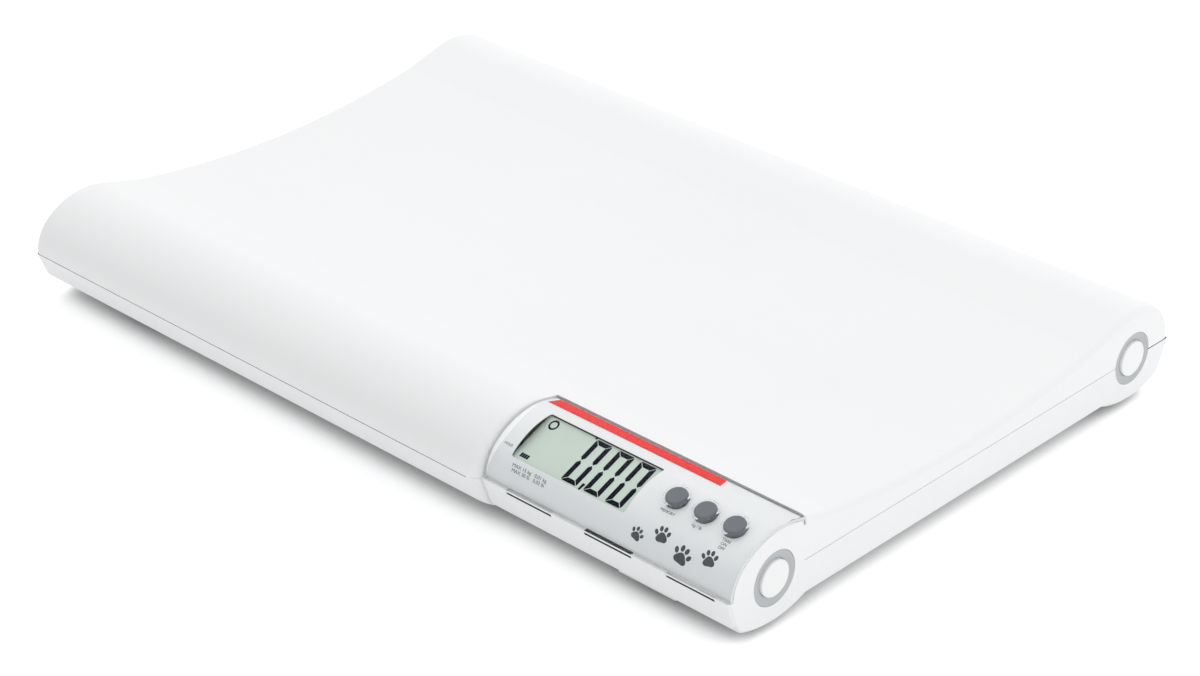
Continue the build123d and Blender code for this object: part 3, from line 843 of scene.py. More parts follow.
@dataclass(frozen=True)
class Finish:
    """A moulded or printed surface: its colours, gloss and grain."""

    name: str
    colour: Colour
    second: Colour
    patch: float = 12.0
    roughness: float = 0.45
    roughness_play: float = 0.08
    metallic: float = 0.0
    coat: float = 0.0
    coat_roughness: float = 0.1
    grain: float = 900.0
    grain_height: float = 0.03
    specular: float = 0.5
    drift: float = 1.6
    gloss_patches: float = 6.0
    grain_depth: float = 0.0005

    def material(self) -> bpy.types.Material:
        """Builds the material once and hands it out after that.

        Returns:
            The material.
        """
        made = bpy.data.materials.get(self.name)
        if made:
            return made
        material = bpy.data.materials.new(self.name)
        material.use_nodes = True
        tree = material.node_tree
        shader = tree.nodes["Principled BSDF"]
        fill(
            shader,
            {
                "Metallic": self.metallic,
                "Coat Weight": self.coat,
                "Coat Roughness": self.coat_roughness,
                "Specular IOR Level": self.specular,
            },
        )
        self.paint(tree, shader)
        self.texture(tree, shader)
        return material

    def paint(self, tree: bpy.types.NodeTree, shader: bpy.types.Node) -> None:
        """Gives the shader a colour that drifts a little between two tones.

        Args:
            tree: The material's nodes.
            shader: Its shader.
        """
        drift = self.group(tree, Group.MOTTLE, Scale=self.patch, Amount=self.drift, Base=0.5)
        colours = {"Factor": drift, "A": (*self.colour, 1.0), "B": (*self.second, 1.0)}
        mix = add_node(tree, "Mix", colours, data_type="RGBA", clamp_factor=True)
        fill(shader, {"Base Color": mix.outputs["Result"]})

    def texture(self, tree: bpy.types.NodeTree, shader: bpy.types.Node) -> None:
        """Gives the shader an uneven gloss and a fine grain.

        Args:
            tree: The material's nodes.
            shader: Its shader.
        """
        patch, play = self.patch * self.gloss_patches, self.roughness_play
        gloss = self.group(tree, Group.MOTTLE, Scale=patch, Amount=play, Base=self.roughness)
        grain = self.group(tree, Group.GRAIN, Scale=self.grain, Amount=1.0)
        relief = {"Strength": self.grain_height, "Distance": self.grain_depth, "Height": grain}
        bump = add_node(tree, "Bump", relief)
        fill(shader, {"Roughness": gloss, "Normal": bump.outputs["Normal"]})

    def group(
        self, tree: bpy.types.NodeTree, kind: Group, **inputs: float
    ) -> bpy.types.NodeSocket:
        """Places a shared effect in a material.

        Args:
            tree: The material's nodes.
            kind: Which effect.
            **inputs: The values of its inputs.

        Returns:
            Its output.
        """
        return add_node(tree, "Group", inputs, node_tree=new_group(kind)).outputs[0]


@dataclass(frozen=True)
class ClearFinish(Finish):
    """Clear moulded plastic or glass."""

    ior: float = 1.1

    def material(self) -> bpy.types.Material:
        """Builds the clear material once, letting the lamps through to what lies under it.

        Returns:
            The material.
        """
        made = bpy.data.materials.get(self.name)
        if made:
            return made
        material = super().material()
        tree = material.node_tree
        fill(tree.nodes["Principled BSDF"], {"Transmission Weight": 1.0, "IOR": self.ior})
        let_through(tree, add_node(tree, "LightPath").outputs["Is Shadow Ray"])
        return material


@dataclass(frozen=True)
class PaintedSheenFinish(Finish):
    """A printed sheet with a painted sheen: its tone is lighter at the top and darker towards the
    lower edge.
    """

    # The darker colour of the painted sheen at the lower edge.
    low: Colour = (0.8, 0.8, 0.8)
    low_z: float = 0.044
    high_z: float = 0.061

    def paint(self, tree: bpy.types.NodeTree, shader: bpy.types.Node) -> None:
        """Paints the sheen: fades the drifting colour into a darker one towards the lower edge.

        Args:
            tree: The material's nodes.
            shader: Its shader.
        """
        super().paint(tree, shader)
        drifting = shader.inputs["Base Color"].links[0].from_socket
        place = add_node(tree, "TexCoord").outputs["Object"]
        height = add_node(tree, "SeparateXYZ", {"Vector": place}).outputs["Z"]
        span = {"Value": height, "From Min": self.low_z, "From Max": self.high_z}
        ramp = add_node(tree, "MapRange", span, interpolation_type="SMOOTHSTEP")
        tones = {"Factor": ramp.outputs["Result"], "A": (*self.low, 1.0), "B": drifting}
        fade = add_node(tree, "Mix", tones, data_type="RGBA")
        fill(shader, {"Base Color": fade.outputs["Result"]})


WHITE_SHELL = Finish(
    "satin_white_shell", (0.915, 0.92, 0.928), (0.9, 0.905, 0.915), 9.0, 0.42, 0.08,
    grain=1400.0, grain_height=0.05,
)
BASE_PLASTIC = Finish(
    "textured_base_plastic", (0.9, 0.91, 0.922), (0.88, 0.892, 0.905), 14.0, 0.55, 0.1,
    grain_height=0.16,
)
# Painted shade: a near-black colour laid on the seam groove and the tab slots' walls, where shade
# falls between the shells.
SEAM_SHADE = Finish(
    "painted_seam_shade", (0.05, 0.052, 0.055), (0.09, 0.092, 0.095), 60.0, 0.8, 0.05, specular=0.1,
)
CLEAR_COVER = ClearFinish(
    "clear_cover_plastic", (0.996, 1.0, 1.0), (0.988, 0.994, 0.993), 8.0, 0.02, 0.01,
    grain=60.0, grain_height=0.01,
)
# Painted reflection: an opaque pale grey, mottled lighter and darker, standing in for the light
# that the clear cover's end face reflects and bends.
COVER_END_PAINTED_REFLECTION = Finish("clear_cover_end_painted_reflection", (0.80, 0.82, 0.83), (0.66, 0.69, 0.70), 120.0, 0.25, 0.1)
# The silver sheet's colour, with a painted sheen that darkens it towards the lower edge.
LABEL_PRINT = PaintedSheenFinish(
    "silver_printed_sheet_painted_sheen", (0.845, 0.855, 0.865), (0.825, 0.835, 0.845), 30.0, 0.42, 0.1,
    grain=3000.0, grain_height=0.08, low=(0.745, 0.77, 0.785),
)
RED_PRINT = Finish(
    "red_print", (0.88, 0.006, 0.003), (0.84, 0.005, 0.003), 40.0, 0.4, 0.08, specular=0.0,
    grain=2500.0,
)
PALE_PRINT = Finish(
    "white_print", (0.97, 0.975, 0.98), (0.95, 0.955, 0.96), 40.0, 0.4, 0.08, specular=0.1,
    grain=2500.0,
)
DARK_PRINT = Finish(
    "dark_grey_print", (0.075, 0.08, 0.09), (0.095, 0.1, 0.11), 60.0, 0.45, 0.08, specular=0.1,
    grain=2500.0,
)
DARK_PLASTIC = Finish(
    "black_moulded_plastic", (0.012, 0.012, 0.013), (0.02, 0.02, 0.021), 20.0, 0.45, 0.1,
    grain_height=0.12,
)
LCD_FIELD = Finish(
    "display_cell_field", (0.585, 0.675, 0.61), (0.555, 0.645, 0.58), 18.0, 0.35, 0.06,
    specular=0.2, grain=2600.0,
)
LCD_INK = Finish(
    "display_segments", (0.004, 0.005, 0.011), (0.008, 0.009, 0.018), 60.0, 0.35, 0.05,
    specular=0.05, grain=2600.0,
)
BUTTON_PLASTIC = Finish(
    "grey_button_plastic", (0.15, 0.165, 0.18), (0.17, 0.185, 0.2), 60.0, 0.5, 0.1,
    grain=2200.0, grain_height=0.14,
)
RING_PLASTIC = Finish(
    "satin_ring_plastic", (0.5, 0.52, 0.54), (0.48, 0.495, 0.51), 60.0, 0.4, 0.08, grain=1800.0,
)
DISC_PLASTIC = Finish(
    "pale_disc_plastic", (0.925, 0.93, 0.935), (0.905, 0.91, 0.915), 60.0, 0.36, 0.06, grain=1800.0,
)
FOOT_PLASTIC = Finish(
    "grey_foot_plastic", (0.6, 0.61, 0.62), (0.56, 0.57, 0.58), 40.0, 0.5, 0.1,
    grain=1100.0, grain_height=0.14,
)
FOOT_RUBBER = Finish(
    "black_foot_rubber", (0.02, 0.02, 0.02), (0.035, 0.034, 0.033), 50.0, 0.75, 0.1,
    grain_height=0.25,
)
STEEL = Finish(
    "bright_sheet_steel", (0.56, 0.57, 0.58), (0.48, 0.49, 0.5), 60.0, 0.3, 0.12,
    metallic=1.0, grain=700.0, grain_height=0.08,
)
REFLECTOR = Finish(
    "reflector_sheet", (0.53, 0.58, 0.5), (0.5, 0.55, 0.47), 40.0, 0.5, 0.05, grain=1500.0,
)
ELASTIC = Finish(
    "elastic_contact_strip", (0.42, 0.33, 0.31), (0.1, 0.09, 0.09), 400.0, 0.6, 0.1,
)
BOARD = Finish(
    "green_circuit_board", (0.015, 0.11, 0.045), (0.02, 0.15, 0.06), 120.0, 0.35, 0.1,
    coat=0.3, grain=500.0, grain_height=0.12,
)
CHIP = Finish(
    "chip_package", (0.014, 0.014, 0.016), (0.024, 0.024, 0.026), 90.0, 0.5, 0.1,
    grain=1800.0, grain_height=0.1,
)
BATTERY_CAN = Finish(
    "battery_sleeve", (0.06, 0.075, 0.1), (0.08, 0.095, 0.12), 60.0, 0.3, 0.08,
    metallic=0.6, coat=0.5,
)
PLUNGER = Finish(
    "cream_plunger_plastic", (0.55, 0.48, 0.3), (0.5, 0.43, 0.27), 90.0, 0.45, 0.08, grain=1500.0,
)


# ---------------------------------------------------------------- platform


Row = tuple[float, float, Optional[BeamTop], bool]


@dataclass
class Platform:
    """The white upper shell with its dish, two beams, rolled lip and sunk shelf."""

    layout: Layout = field(default_factory=Layout)
    nose_steps: int = 16
    crest_steps: int = 24
    crease_steps: int = 10
    dish_steps: int = 36
    round_steps: int = 7
    left_round: float = 0.0042
    lip_steps: int = 8
    lip_end: float = 0.00005
    wall: float = 0.0028
    shelf_inset: float = 0.0027
    slot_width: float = 0.0022
    slot_depth: float = 0.0055
    pocket_radius: float = 0.01615
    pocket_sides: int = 128
    opening_spare: float = 0.0018
    opening_reach: float = 0.011
    button_hole: float = 0.0068
    button_hole_reach: float = 0.012
    button_hole_sides: int = 64

    def dish_blend(self, beam: BeamTop) -> tuple[Point, float, float]:
        """The small arc that joins a beam's slope to the dish.

        Args:
            beam: The beam.

        Returns:
            The arc's centre in Y and Z, and its two ends' angles, at the slope and at the dish.
        """
        (dish_y, dish_z), radius = self.layout.dish()
        blend = self.layout.crease_blend
        touch_y, touch_z = beam.crest_at(beam.leave)
        normal = (beam.side * cos(beam.leave), sin(beam.leave))
        foot_y, foot_z = touch_y + normal[0] * blend, touch_z + normal[1] * blend
        along = (-beam.side * sin(beam.leave), cos(beam.leave))
        dy, dz = foot_y - dish_y, foot_z - dish_z
        half = dy * along[0] + dz * along[1]
        root = sqrt(half**2 - (dy**2 + dz**2 - (radius - blend) ** 2))
        step = min((-half - root, -half + root), key=abs)
        centre = (foot_y + along[0] * step, foot_z + along[1] * step)
        slope_angle = atan2(-normal[1], -normal[0])
        return centre, slope_angle, atan2(centre[1] - dish_z, centre[0] - dish_y)

    def chain(self, x: float, inset: float, front: Optional[BeamTop], shelf: bool) -> None:
        """Draws the whole outline from the front nose to the back nose at one X.

        Args:
            x: The place along the length.
            inset: How far the tray's outline is drawn in, for the rounded ends.
            front: The front beam's outline there, or None for the beam's own one, drawn in too.
            shelf: Whether the front part is the sunk shelf with the slot behind it.
        """
        lay = self.layout
        own = lay.front()
        beam = front or own
        depth = self.shelf_inset if shelf else (0.0 if front else inset)
        pen = Pen(x, *beam.nose_at(0.0, depth))
        pen.arc(beam.nose_centre(), -beam.meet, self.nose_steps)
        pen.arc(beam.crest_centre(), -(beam.leave - beam.meet), self.crest_steps)
        slot_y = lay.display_top - self.slot_width
        if shelf:
            floor = beam.slope_z(slot_y, self.slot_depth)
            pen.line(slot_y, beam.slope_z(slot_y, depth))
            pen.line(slot_y, floor)
            pen.line(lay.display_top, floor)
        else:
            # As many points as the shelf has at its slot, so that all chains have the same number.
            for share in (0.0, 0.35, 0.7):
                y = slot_y + share * self.slot_width
                pen.line(y, beam.slope_z(y, depth))
        pen.line(lay.display_top, own.slope_z(lay.display_top, inset))
        self.tray_part(pen, own, inset)

    def tray_part(self, pen: Pen, front: BeamTop, inset: float) -> None:
        """Draws the outline on from the display's top edge over the dish to the back nose.

        Args:
            pen: The pen, at the display's top edge.
            front: The front beam.
            inset: How far the outline is drawn in.
        """
        lay = self.layout
        back = lay.back()
        (c1, s1, d1), (c2, s2, d2) = (self.dish_blend(beam) for beam in (front, back))
        blend = lay.crease_blend + inset
        pen.line(c1[0] + blend * cos(s1), c1[1] + blend * sin(s1))
        pen.arc(c1, d1 - s1, self.crease_steps)
        pen.arc(lay.dish()[0], d2 - d1, self.dish_steps)
        pen.arc(c2, s2 - d2, self.crease_steps)
        pen.line(*back.crest_at(back.leave, inset))
        pen.arc(back.crest_centre(), -(back.leave - back.meet), self.crest_steps)
        pen.arc(back.nose_centre(), -back.meet, self.nose_steps)

    def stations(self) -> list[Row]:
        """The places along X at which the outline is drawn, with what it is there."""
        lay = self.layout
        rows: list[Row] = []
        turns = [pi / 2 * i / self.round_steps for i in range(self.round_steps + 1)]
        for a in turns:
            reach, inset = self.left_round * (1 - cos(a)), self.left_round * (1 - sin(a))
            rows.append((reach - lay.half_length, inset, None, False))
        for i in range(self.lip_steps + 1):
            a = pi / 2 * i / self.lip_steps
            share = 1 - cos(a)
            x = lay.display_start - lay.lip_width * (1 - sin(a))
            rows.append((x, 0.0, lay.display(share, lay.lip_drop * share), False))
        rows.append((lay.display_start + self.lip_end, 0.0, lay.display(), True))
        for a in reversed(turns):
            reach, inset = lay.end_round * (1 - cos(a)), lay.end_round * (1 - sin(a))
            rows.append((lay.half_length - reach, inset, lay.display(), True))
        return rows

    def build(self) -> None:
        """Draws, skins and walls the shell, and cuts its openings."""
        piece = Piece("platform_shell")
        piece.edit()
        rows = self.stations()
        for row in rows:
            self.chain(*row)
        places = [row[0] for row in rows]
        skin(piece, places)
        cap(piece, places[0])
        cap(piece, places[-1])
        face_outwards(piece, closed=False)
        piece.leave()
        piece.modifier("SOLIDIFY", thickness=self.wall, offset=-1.0, use_even_offset=True)
        self.open_up(piece)
        piece.smooth(28.0)
        piece.deliver(WHITE_SHELL, "white_shell", "housing", "platform_cover")

    def open_up(self, piece: Piece) -> None:
        """Cuts the ring pockets, the display opening and the button holes.

        Args:
            piece: The shell.
        """
        lay = self.layout
        deep, sides = lay.pocket_depth, self.pocket_sides
        for side in (-1, 1):
            for y in (lay.front_axis, lay.back_axis):
                place = Matrix.Translation((side * lay.half_length, y, lay.parting))
                place = place @ Matrix.Rotation(pi / 2, 4, "Y")
                piece.cut(drum("pocket_cutter", place, self.pocket_radius, -deep, deep, sides))
        spare, reach = self.opening_spare, self.opening_reach
        piece.cut(lay.window_block("window_cutter", spare, spare, -reach, reach))
        radius, reach, sides = self.button_hole, self.button_hole_reach, self.button_hole_sides
        for place in lay.button_places():
            piece.cut(drum("button_cutter", place, radius, -reach, reach, sides))


# ---------------------------------------------------------------- base


@dataclass
class Base:
    """The pale grey lower shell, its feet and its battery door."""

    corner_names: tuple[str, ...] = ("front_left", "back_left", "front_right", "back_right")
    seam_low: float = 0.03135
    seam_high: float = 0.0319
    seam_end: float = 0.2795
    slot_middles: tuple[float, ...] = (0.1379, 0.1959, 0.2539)
    slot_half: float = 0.0168
    slot_low: float = 0.0292
    slot_high: float = 0.0325
    slot_front: float = -0.19005
    slot_back: float = -0.1872
    slot_shade: Point = (-0.19007, -0.18715)
    slot_shade_high: float = 0.03199
    cup_round: float = 0.0006
    pad_round: float = 0.0005
    door_round: float = 0.00025

    def shell(self) -> None:
        """The lower shell, from a merged copy of whole flat faces, with three tab slots. Its seam
        groove and slot walls get a painted shade.
        """
        piece = node_copy("base_tub", "base_shell")
        piece.whole_faces(0.4)
        for middle in self.slot_middles:
            low = (middle - self.slot_half, self.slot_front, self.slot_low)
            high = (middle + self.slot_half, self.slot_back, self.slot_high)
            piece.cut(block("slot_cutter", low, high))
        piece.smooth(24.0)
        piece.deliver(BASE_PLASTIC, "base_plastic", "housing", "base_shell")
        # The seam groove and the tab slots' walls are painted dark: painted shade.
        piece.tint(SEAM_SHADE, lambda p, n: self.in_seam(p) or self.in_slot(p))

    def in_seam(self, p: Vector) -> bool:
        """Whether a face's middle lies in the seam, which gets painted shade away from the brightly
        lit right end.
        """
        return self.seam_low < p.z < self.seam_high and p.x < self.seam_end

    def in_slot(self, p: Vector, near: float = 1e-5) -> bool:
        """Whether a face's middle lies on a wall of a tab slot that gets painted shade.

        Args:
            p: The face's middle.
            near: How far off it may lie.

        Returns:
            Whether it does. Of the outer slots, only the floor counts.
        """
        reach = self.slot_half + near
        if abs(p.x - self.slot_middles[1]) > reach and p.z > self.slot_low + near:
            return False
        along = any(abs(p.x - middle) < reach for middle in self.slot_middles)
        across = self.slot_shade[0] < p.y < self.slot_shade[1]
        return along and across and self.slot_low - near < p.z < self.slot_shade_high

    def feet(self) -> None:
        """Four cups and their soft pads."""
        for corner in self.corner_names:
            for part, width, finish, slot in (
                ("cup", self.cup_round, FOOT_PLASTIC, "foot_plastic"),
                ("pad", self.pad_round, FOOT_RUBBER, "foot_rubber"),
            ):
                node = f"{corner}_foot_{part}"
                piece = node_copy(f"{corner}_{part}", node)
                soften(piece, width)
                piece.deliver(finish, slot, f"{corner}_foot", node)

    def door(self) -> None:
        """The battery door with its rounded edges."""
        piece = node_copy("battery_lid", "battery_door")
        soften(piece, self.door_round, 2)
        piece.deliver(BASE_PLASTIC, "base_plastic", "door", "battery_door")


# ---------------------------------------------------------------- display section


@dataclass
class Display:
    """The clear cover, printed sheet, cell and buttons of the front beam's right part."""

    layout: Layout = field(default_factory=Layout)
    nose_steps: int = 20
    crest_steps: int = 40
    flange_depth: float = 0.0032
    flange_thickness: float = 0.0013
    cover_gap: float = 0.0004
    cover_low: float = 0.0003
    cover_top_gap: float = 0.0001
    cover_round: float = 0.00035
    tab_count: int = 3
    tab_first: float = 0.0271
    tab_pitch: float = 0.058
    tab_half: float = 0.0165
    tab_depths: Point = (0.0008, 0.0022)
    tab_heights: Point = (-0.0025, 0.0028)
    collar_radius: float = 0.0076
    collar_rise: float = 0.0013
    collar_round: float = 0.00045
    hole_radius: float = 0.0066
    hole_reach: float = 0.009
    label_low: float = 0.0006
    label_top_gap: float = 0.0002
    label_end_gap: float = 0.0001
    label_hole_radius: float = 0.00645
    label_hole_reach: float = 0.007
    window_reach: float = 0.006
    window_spare: float = 0.0015
    corner_round: float = 0.0013
    cell_overlap: float = 0.0014
    cell_side_gap: float = 0.00015
    cell_depth: float = 0.0028
    cell_round: float = 0.0002
    room_gap: float = 0.0001
    room_depth: float = 0.0029
    room_reach: float = 0.012
    button_radius: float = 0.0062
    button_depth: float = 0.0058
    button_proud: float = 0.002
    button_sides: int = 72
    crown_round: float = 0.0013
    crown_rim: float = 0.0014
    crown_hollow: float = 0.00012
    print_height: float = 0.00002
    digit_lefts: tuple[float, ...] = (-0.0061, 0.0101, 0.0259)
    digit_width: float = 0.0114
    digit_ends: Point = (-0.0151, 0.0157)
    upright_width: float = 0.0031
    level_width: float = 0.0029
    segment_gap: float = 0.0002
    level_tip: float = 0.0012
    level_shoulder: Point = (0.0006, 0.0003)
    upright_tip: float = 0.0011
    upright_shoulder: Point = (0.0004, 0.0003)
    upright_waist: float = 0.0020
    comma: tuple[Point, ...] = (
        (0.0072, -0.0113), (0.0093, -0.0113), (0.0086, -0.0161), (0.0074, -0.0161),
    )
    ring_place: Point = (-0.0351, 0.0118)
    ring_radii: Point = (0.0020, 0.0031)
    ring_tall: float = 1.1
    battery_place: Point = (-0.0347, -0.0126)
    bar_count: int = 4
    bar_pitch: float = 0.00152
    bar_width: float = 0.00136
    bar_half: float = 0.0014
    arrow: tuple[Point, ...] = ((-0.0082, 0.0163), (-0.0060, 0.0163), (-0.0071, 0.0150))

    def band(
        self,
        name: str,
        outer: float,
        inner: float,
        top: float,
        flange: bool,
        ends: Point,
        bottom: float,
    ) -> Piece:
        """A curved sheet between two depths under the display surface.

        Args:
            name: The piece's name.
            outer: The outer face's depth.
            inner: The inner face's depth.
            top: The Y of its upper edge.
            flange: Whether the upper edge is turned down.
            ends: Its first and last X.
            bottom: How far its lower edge lies over the parting plane.

        Returns:
            The piece, closed.
        """
        surface = self.layout.display()
        piece = Piece(name)
        piece.edit()
        low_outer = asin(bottom / (surface.nose_radius - outer))
        low_inner = asin(bottom / (surface.nose_radius - inner))
        for x in ends:
            pen = Pen(x, *surface.nose_at(low_outer, outer))
            pen.arc(surface.nose_centre(), -(surface.meet - low_outer), self.nose_steps)
            pen.arc(surface.crest_centre(), -(surface.leave - surface.meet), self.crest_steps)
            pen.line(top, surface.slope_z(top, outer))
            edge = top
            if flange:
                deep = surface.slope_z(top, outer + self.cover_depth())
                edge = top - self.flange_thickness
                pen.line(top, deep)
                pen.line(edge, deep)
            pen.line(edge, surface.slope_z(edge, inner))
            pen.line(*surface.crest_at(surface.leave, inner))
            pen.arc(surface.crest_centre(), surface.leave - surface.meet, self.crest_steps)
            pen.arc(surface.nose_centre(), surface.meet - low_inner, self.nose_steps)
            self.close_loop(piece, x, pen.at, surface.nose_at(low_outer, outer))
        skin(piece, ends)
        for x in ends:
            cap(piece, x)
        face_outwards(piece)
        piece.leave()
        return piece

    def cover_depth(self) -> float:
        """How deep the turned-down upper edge reaches."""
        return self.layout.cover_thickness + self.flange_depth

    def close_loop(self, piece: Piece, x: float, last: Point, first: Point) -> None:
        """Joins the last vertex of a chain to its first one.

        Args:
            piece: The piece, in edit mode.
            x: The chain's X.
            last: Y and Z of its last vertex.
            first: Y and Z of its first vertex.
        """
        ends = [Vector((x, *last)), Vector((x, *first))]
        piece.pick("VERT", lambda p, n: min((p - e).length for e in ends) < 2e-6)
        bpy.ops.mesh.edge_face_add()

    def cover(self) -> None:
        """The clear cover with its collars, tabs and turned-down upper edge, and a painted
        reflection on its right end face.
        """
        lay = self.layout
        ends = (lay.display_start + self.cover_gap, lay.half_length)
        top = lay.display_top - self.cover_top_gap
        piece = self.band(
            "clear_cover", 0.0, lay.cover_thickness, top, True, ends, self.cover_low
        )
        piece.edit()
        piece.pick("EDGE", lambda m, d: abs(d.x) < 1e-7 and min(abs(m.x - x) for x in ends) < 1e-6)
        bpy.ops.mesh.bevel(offset=self.cover_round, segments=3, affect="EDGES")
        piece.leave()
        for collar in self.collars():
            piece.cut(collar, "UNION")
        reach = self.hole_reach
        for place in lay.button_places():
            piece.cut(drum("hole_cutter", place, self.hole_radius, -reach, reach))
        outer = lay.front_axis + lay.display_shift - lay.display_reach
        for i in range(self.tab_count):
            middle = lay.half_length - self.tab_first - self.tab_pitch * i
            low, high = (
                (middle + way * self.tab_half, outer + depth, lay.parting + height)
                for way, depth, height in zip((-1, 1), self.tab_depths, self.tab_heights)
            )
            piece.cut(block("tab", low, high), "UNION")
        piece.smooth(15.0)
        piece.deliver(CLEAR_COVER, "clear_cover", "housing", "display_cover")
        # The right end face gets an opaque painted reflection in place of its clear plastic.
        piece.tint(COVER_END_PAINTED_REFLECTION, lambda p, n: n.x > 0.9 and p.x > lay.half_length - 1e-5)

    def collars(self) -> list[Piece]:
        """The raised rings round the buttons, solid until the holes are cut."""
        low = -self.layout.cover_thickness / 2
        piece = drum("collar", Matrix.Identity(4), self.collar_radius, low, self.collar_rise)
        piece.edit()
        piece.pick("FACE", lambda p, n: n.z > 0.9)
        bpy.ops.mesh.bevel(offset=self.collar_round, segments=4, affect="EDGES")
        piece.leave()
        places = self.layout.button_places()
        return piece.copies([f"collar_{i}" for i in range(len(places))], places)

    def label(self) -> None:
        """The silver printed sheet with its window and button holes."""
        lay = self.layout
        ends = (lay.display_start + self.cover_gap, lay.half_length - self.label_end_gap)
        top = lay.display_top - self.flange_thickness - self.label_top_gap
        inner = lay.label_inset + lay.label_thickness
        piece = self.band(
            "printed_sheet", lay.label_inset, inner, top, False, ends, self.label_low
        )
        half, high = lay.window_length / 2, lay.window_height() / 2
        opening = block(
            "window_cutter",
            (-half, -high, -self.window_reach),
            (half + self.window_spare, high, self.window_reach),
        )
        opening.edit()
        opening.pick("EDGE", lambda m, d: abs(d.z) > 0.9 * d.length)
        bpy.ops.mesh.bevel(offset=self.corner_round, segments=5, affect="EDGES")
        opening.leave()
        opening.put(lay.window_place())
        piece.cut(opening)
        reach = self.label_hole_reach
        for place in lay.button_places():
            piece.cut(drum("hole_cutter", place, self.label_hole_radius, -reach, reach))
        piece.smooth(25.0)
        piece.deliver(LABEL_PRINT, "label_print", "housing", "display_label")

    def cell(self) -> None:
        """The display cell with its fine rounded edge."""
        top = -self.layout.glass_drop
        low = top - self.cell_depth
        piece = self.layout.window_block(
            "display_cell", self.cell_overlap, -self.cell_side_gap, low, top
        )
        piece.modifier("BEVEL", width=self.cell_round, segments=2)
        piece.smooth()
        piece.deliver(LCD_FIELD, "lcd_glass", "housing", "lcd_glass")

    def holder(self) -> None:
        """The dark frame, its end walls cut back over the ends of the display cell."""
        piece = node_copy("display_frame", "lcd_holder")
        along = self.cell_overlap + self.room_gap
        low = -self.layout.glass_drop - self.room_depth
        room = self.layout.window_block(
            "room_cutter", along, -self.room_gap, low, self.room_reach
        )
        piece.cut(room)
        piece.smooth()
        piece.deliver(DARK_PLASTIC, "dark_plastic", "housing", "lcd_holder")

    def segments(self) -> None:
        """The dark segments of the reading, the comma, the ring and the battery mark."""
        lay = self.layout
        shapes: list[Sequence[Point]] = []
        for left in self.digit_lefts:
            shapes += self.zero(left, left + self.digit_width, *self.digit_ends)
        shapes.append(self.comma)
        shapes += self.ring_mark()
        shapes += self.battery_mark()
        shapes.append(self.arrow)
        piece = flat_shapes("reading", shapes)
        lift = Matrix.Translation((0.0, 0.0, self.print_height - lay.glass_drop))
        piece.put(lay.window_place() @ lift)
        piece.modifier("SOLIDIFY", thickness=self.print_height, offset=1.0)
        piece.deliver(LCD_INK, "lcd_glass", "housing")

    def zero(self, left: float, right: float, low: float, high: float) -> list[Sequence[Point]]:
        """The six segments of one zero, mitred at its corners.

        Args:
            left: The left edge.
            right: The right edge.
            low: The lower edge.
            high: The upper edge.

        Returns:
            The corners of each segment.
        """
        upright, level, gap = self.upright_width, self.level_width, self.segment_gap
        tip, waist, middle = self.level_tip, self.upright_waist, (low + high) / 2
        shapes: list[Sequence[Point]] = []
        in_x, in_y = self.level_shoulder
        for y, sign in ((high, -1), (low, 1)):
            shapes.append([
                (left + tip, y),
                (right - tip, y),
                (right - in_x, y + sign * in_y),
                (right - upright - gap, y + sign * level),
                (left + upright + gap, y + sign * level),
                (left + in_x, y + sign * in_y),
            ])
        in_x, in_y = self.upright_shoulder
        for x, sign in ((left, 1), (right, -1)):
            for end, way in ((high, -1), (low, 1)):
                shapes.append([
                    (x, end + way * self.upright_tip),
                    (x + sign * in_x, end + way * (in_y + gap)),
                    (x + sign * upright, end + way * (level + gap + gap)),
                    (x + sign * upright, middle - way * waist),
                    (x + sign * upright / 2, middle - way * gap),
                    (x, middle - way * waist),
                ])
        return shapes

    def ring_mark(self, count: int = 32) -> list[Sequence[Point]]:
        """A small ring that marks the steady zero, in short flat sectors.

        Args:
            count: The number of sectors.

        Returns:
            The corners of each sector.
        """
        x, y = self.ring_place
        hole, radius = self.ring_radii
        turns = [2 * pi * i / count for i in range(count + 1)]
        return [
            [
                (x + r * cos(t), y + self.ring_tall * r * sin(t))
                for r, t in ((hole, a), (radius, a), (radius, b), (hole, b))
            ]
            for a, b in zip(turns, turns[1:])
        ]

    def battery_mark(self) -> list[Sequence[Point]]:
        """The corners of a small battery's four bars in a row."""
        x, y = self.battery_place
        width, half, count = self.bar_width, self.bar_half, self.bar_count
        lefts = [x + (i - count // 2) * self.bar_pitch for i in range(count)]
        return [
            [(left, y - half), (left + width, y - half), (left + width, y + half), (left, y + half)]
            for left in lefts
        ]

    def buttons(self) -> None:
        """Three round buttons with a rounded crown."""
        low, high = -self.button_depth, self.button_proud
        pattern = drum(
            "cap", Matrix.Identity(4), self.button_radius, low, high, self.button_sides
        )
        pattern.edit()
        pattern.pick("FACE", lambda p, n: n.z > 0.9)
        bpy.ops.mesh.bevel(offset=self.crown_round, segments=6, affect="EDGES")
        pattern.pick("FACE", lambda p, n: n.z > 0.98 and p.z > high - 1e-5)
        bpy.ops.mesh.inset(thickness=self.crown_rim)
        bpy.ops.transform.translate(value=(0.0, 0.0, -self.crown_hollow))
        pattern.leave()
        keys = ("tare", "unit", "memory")
        caps = pattern.copies([f"{key}_cap" for key in keys], self.layout.button_places())
        for key, piece in zip(keys, caps):
            piece.smooth(35.0)
            piece.deliver(BUTTON_PLASTIC, "button_rubber", f"{key}_key", f"{key}_button")


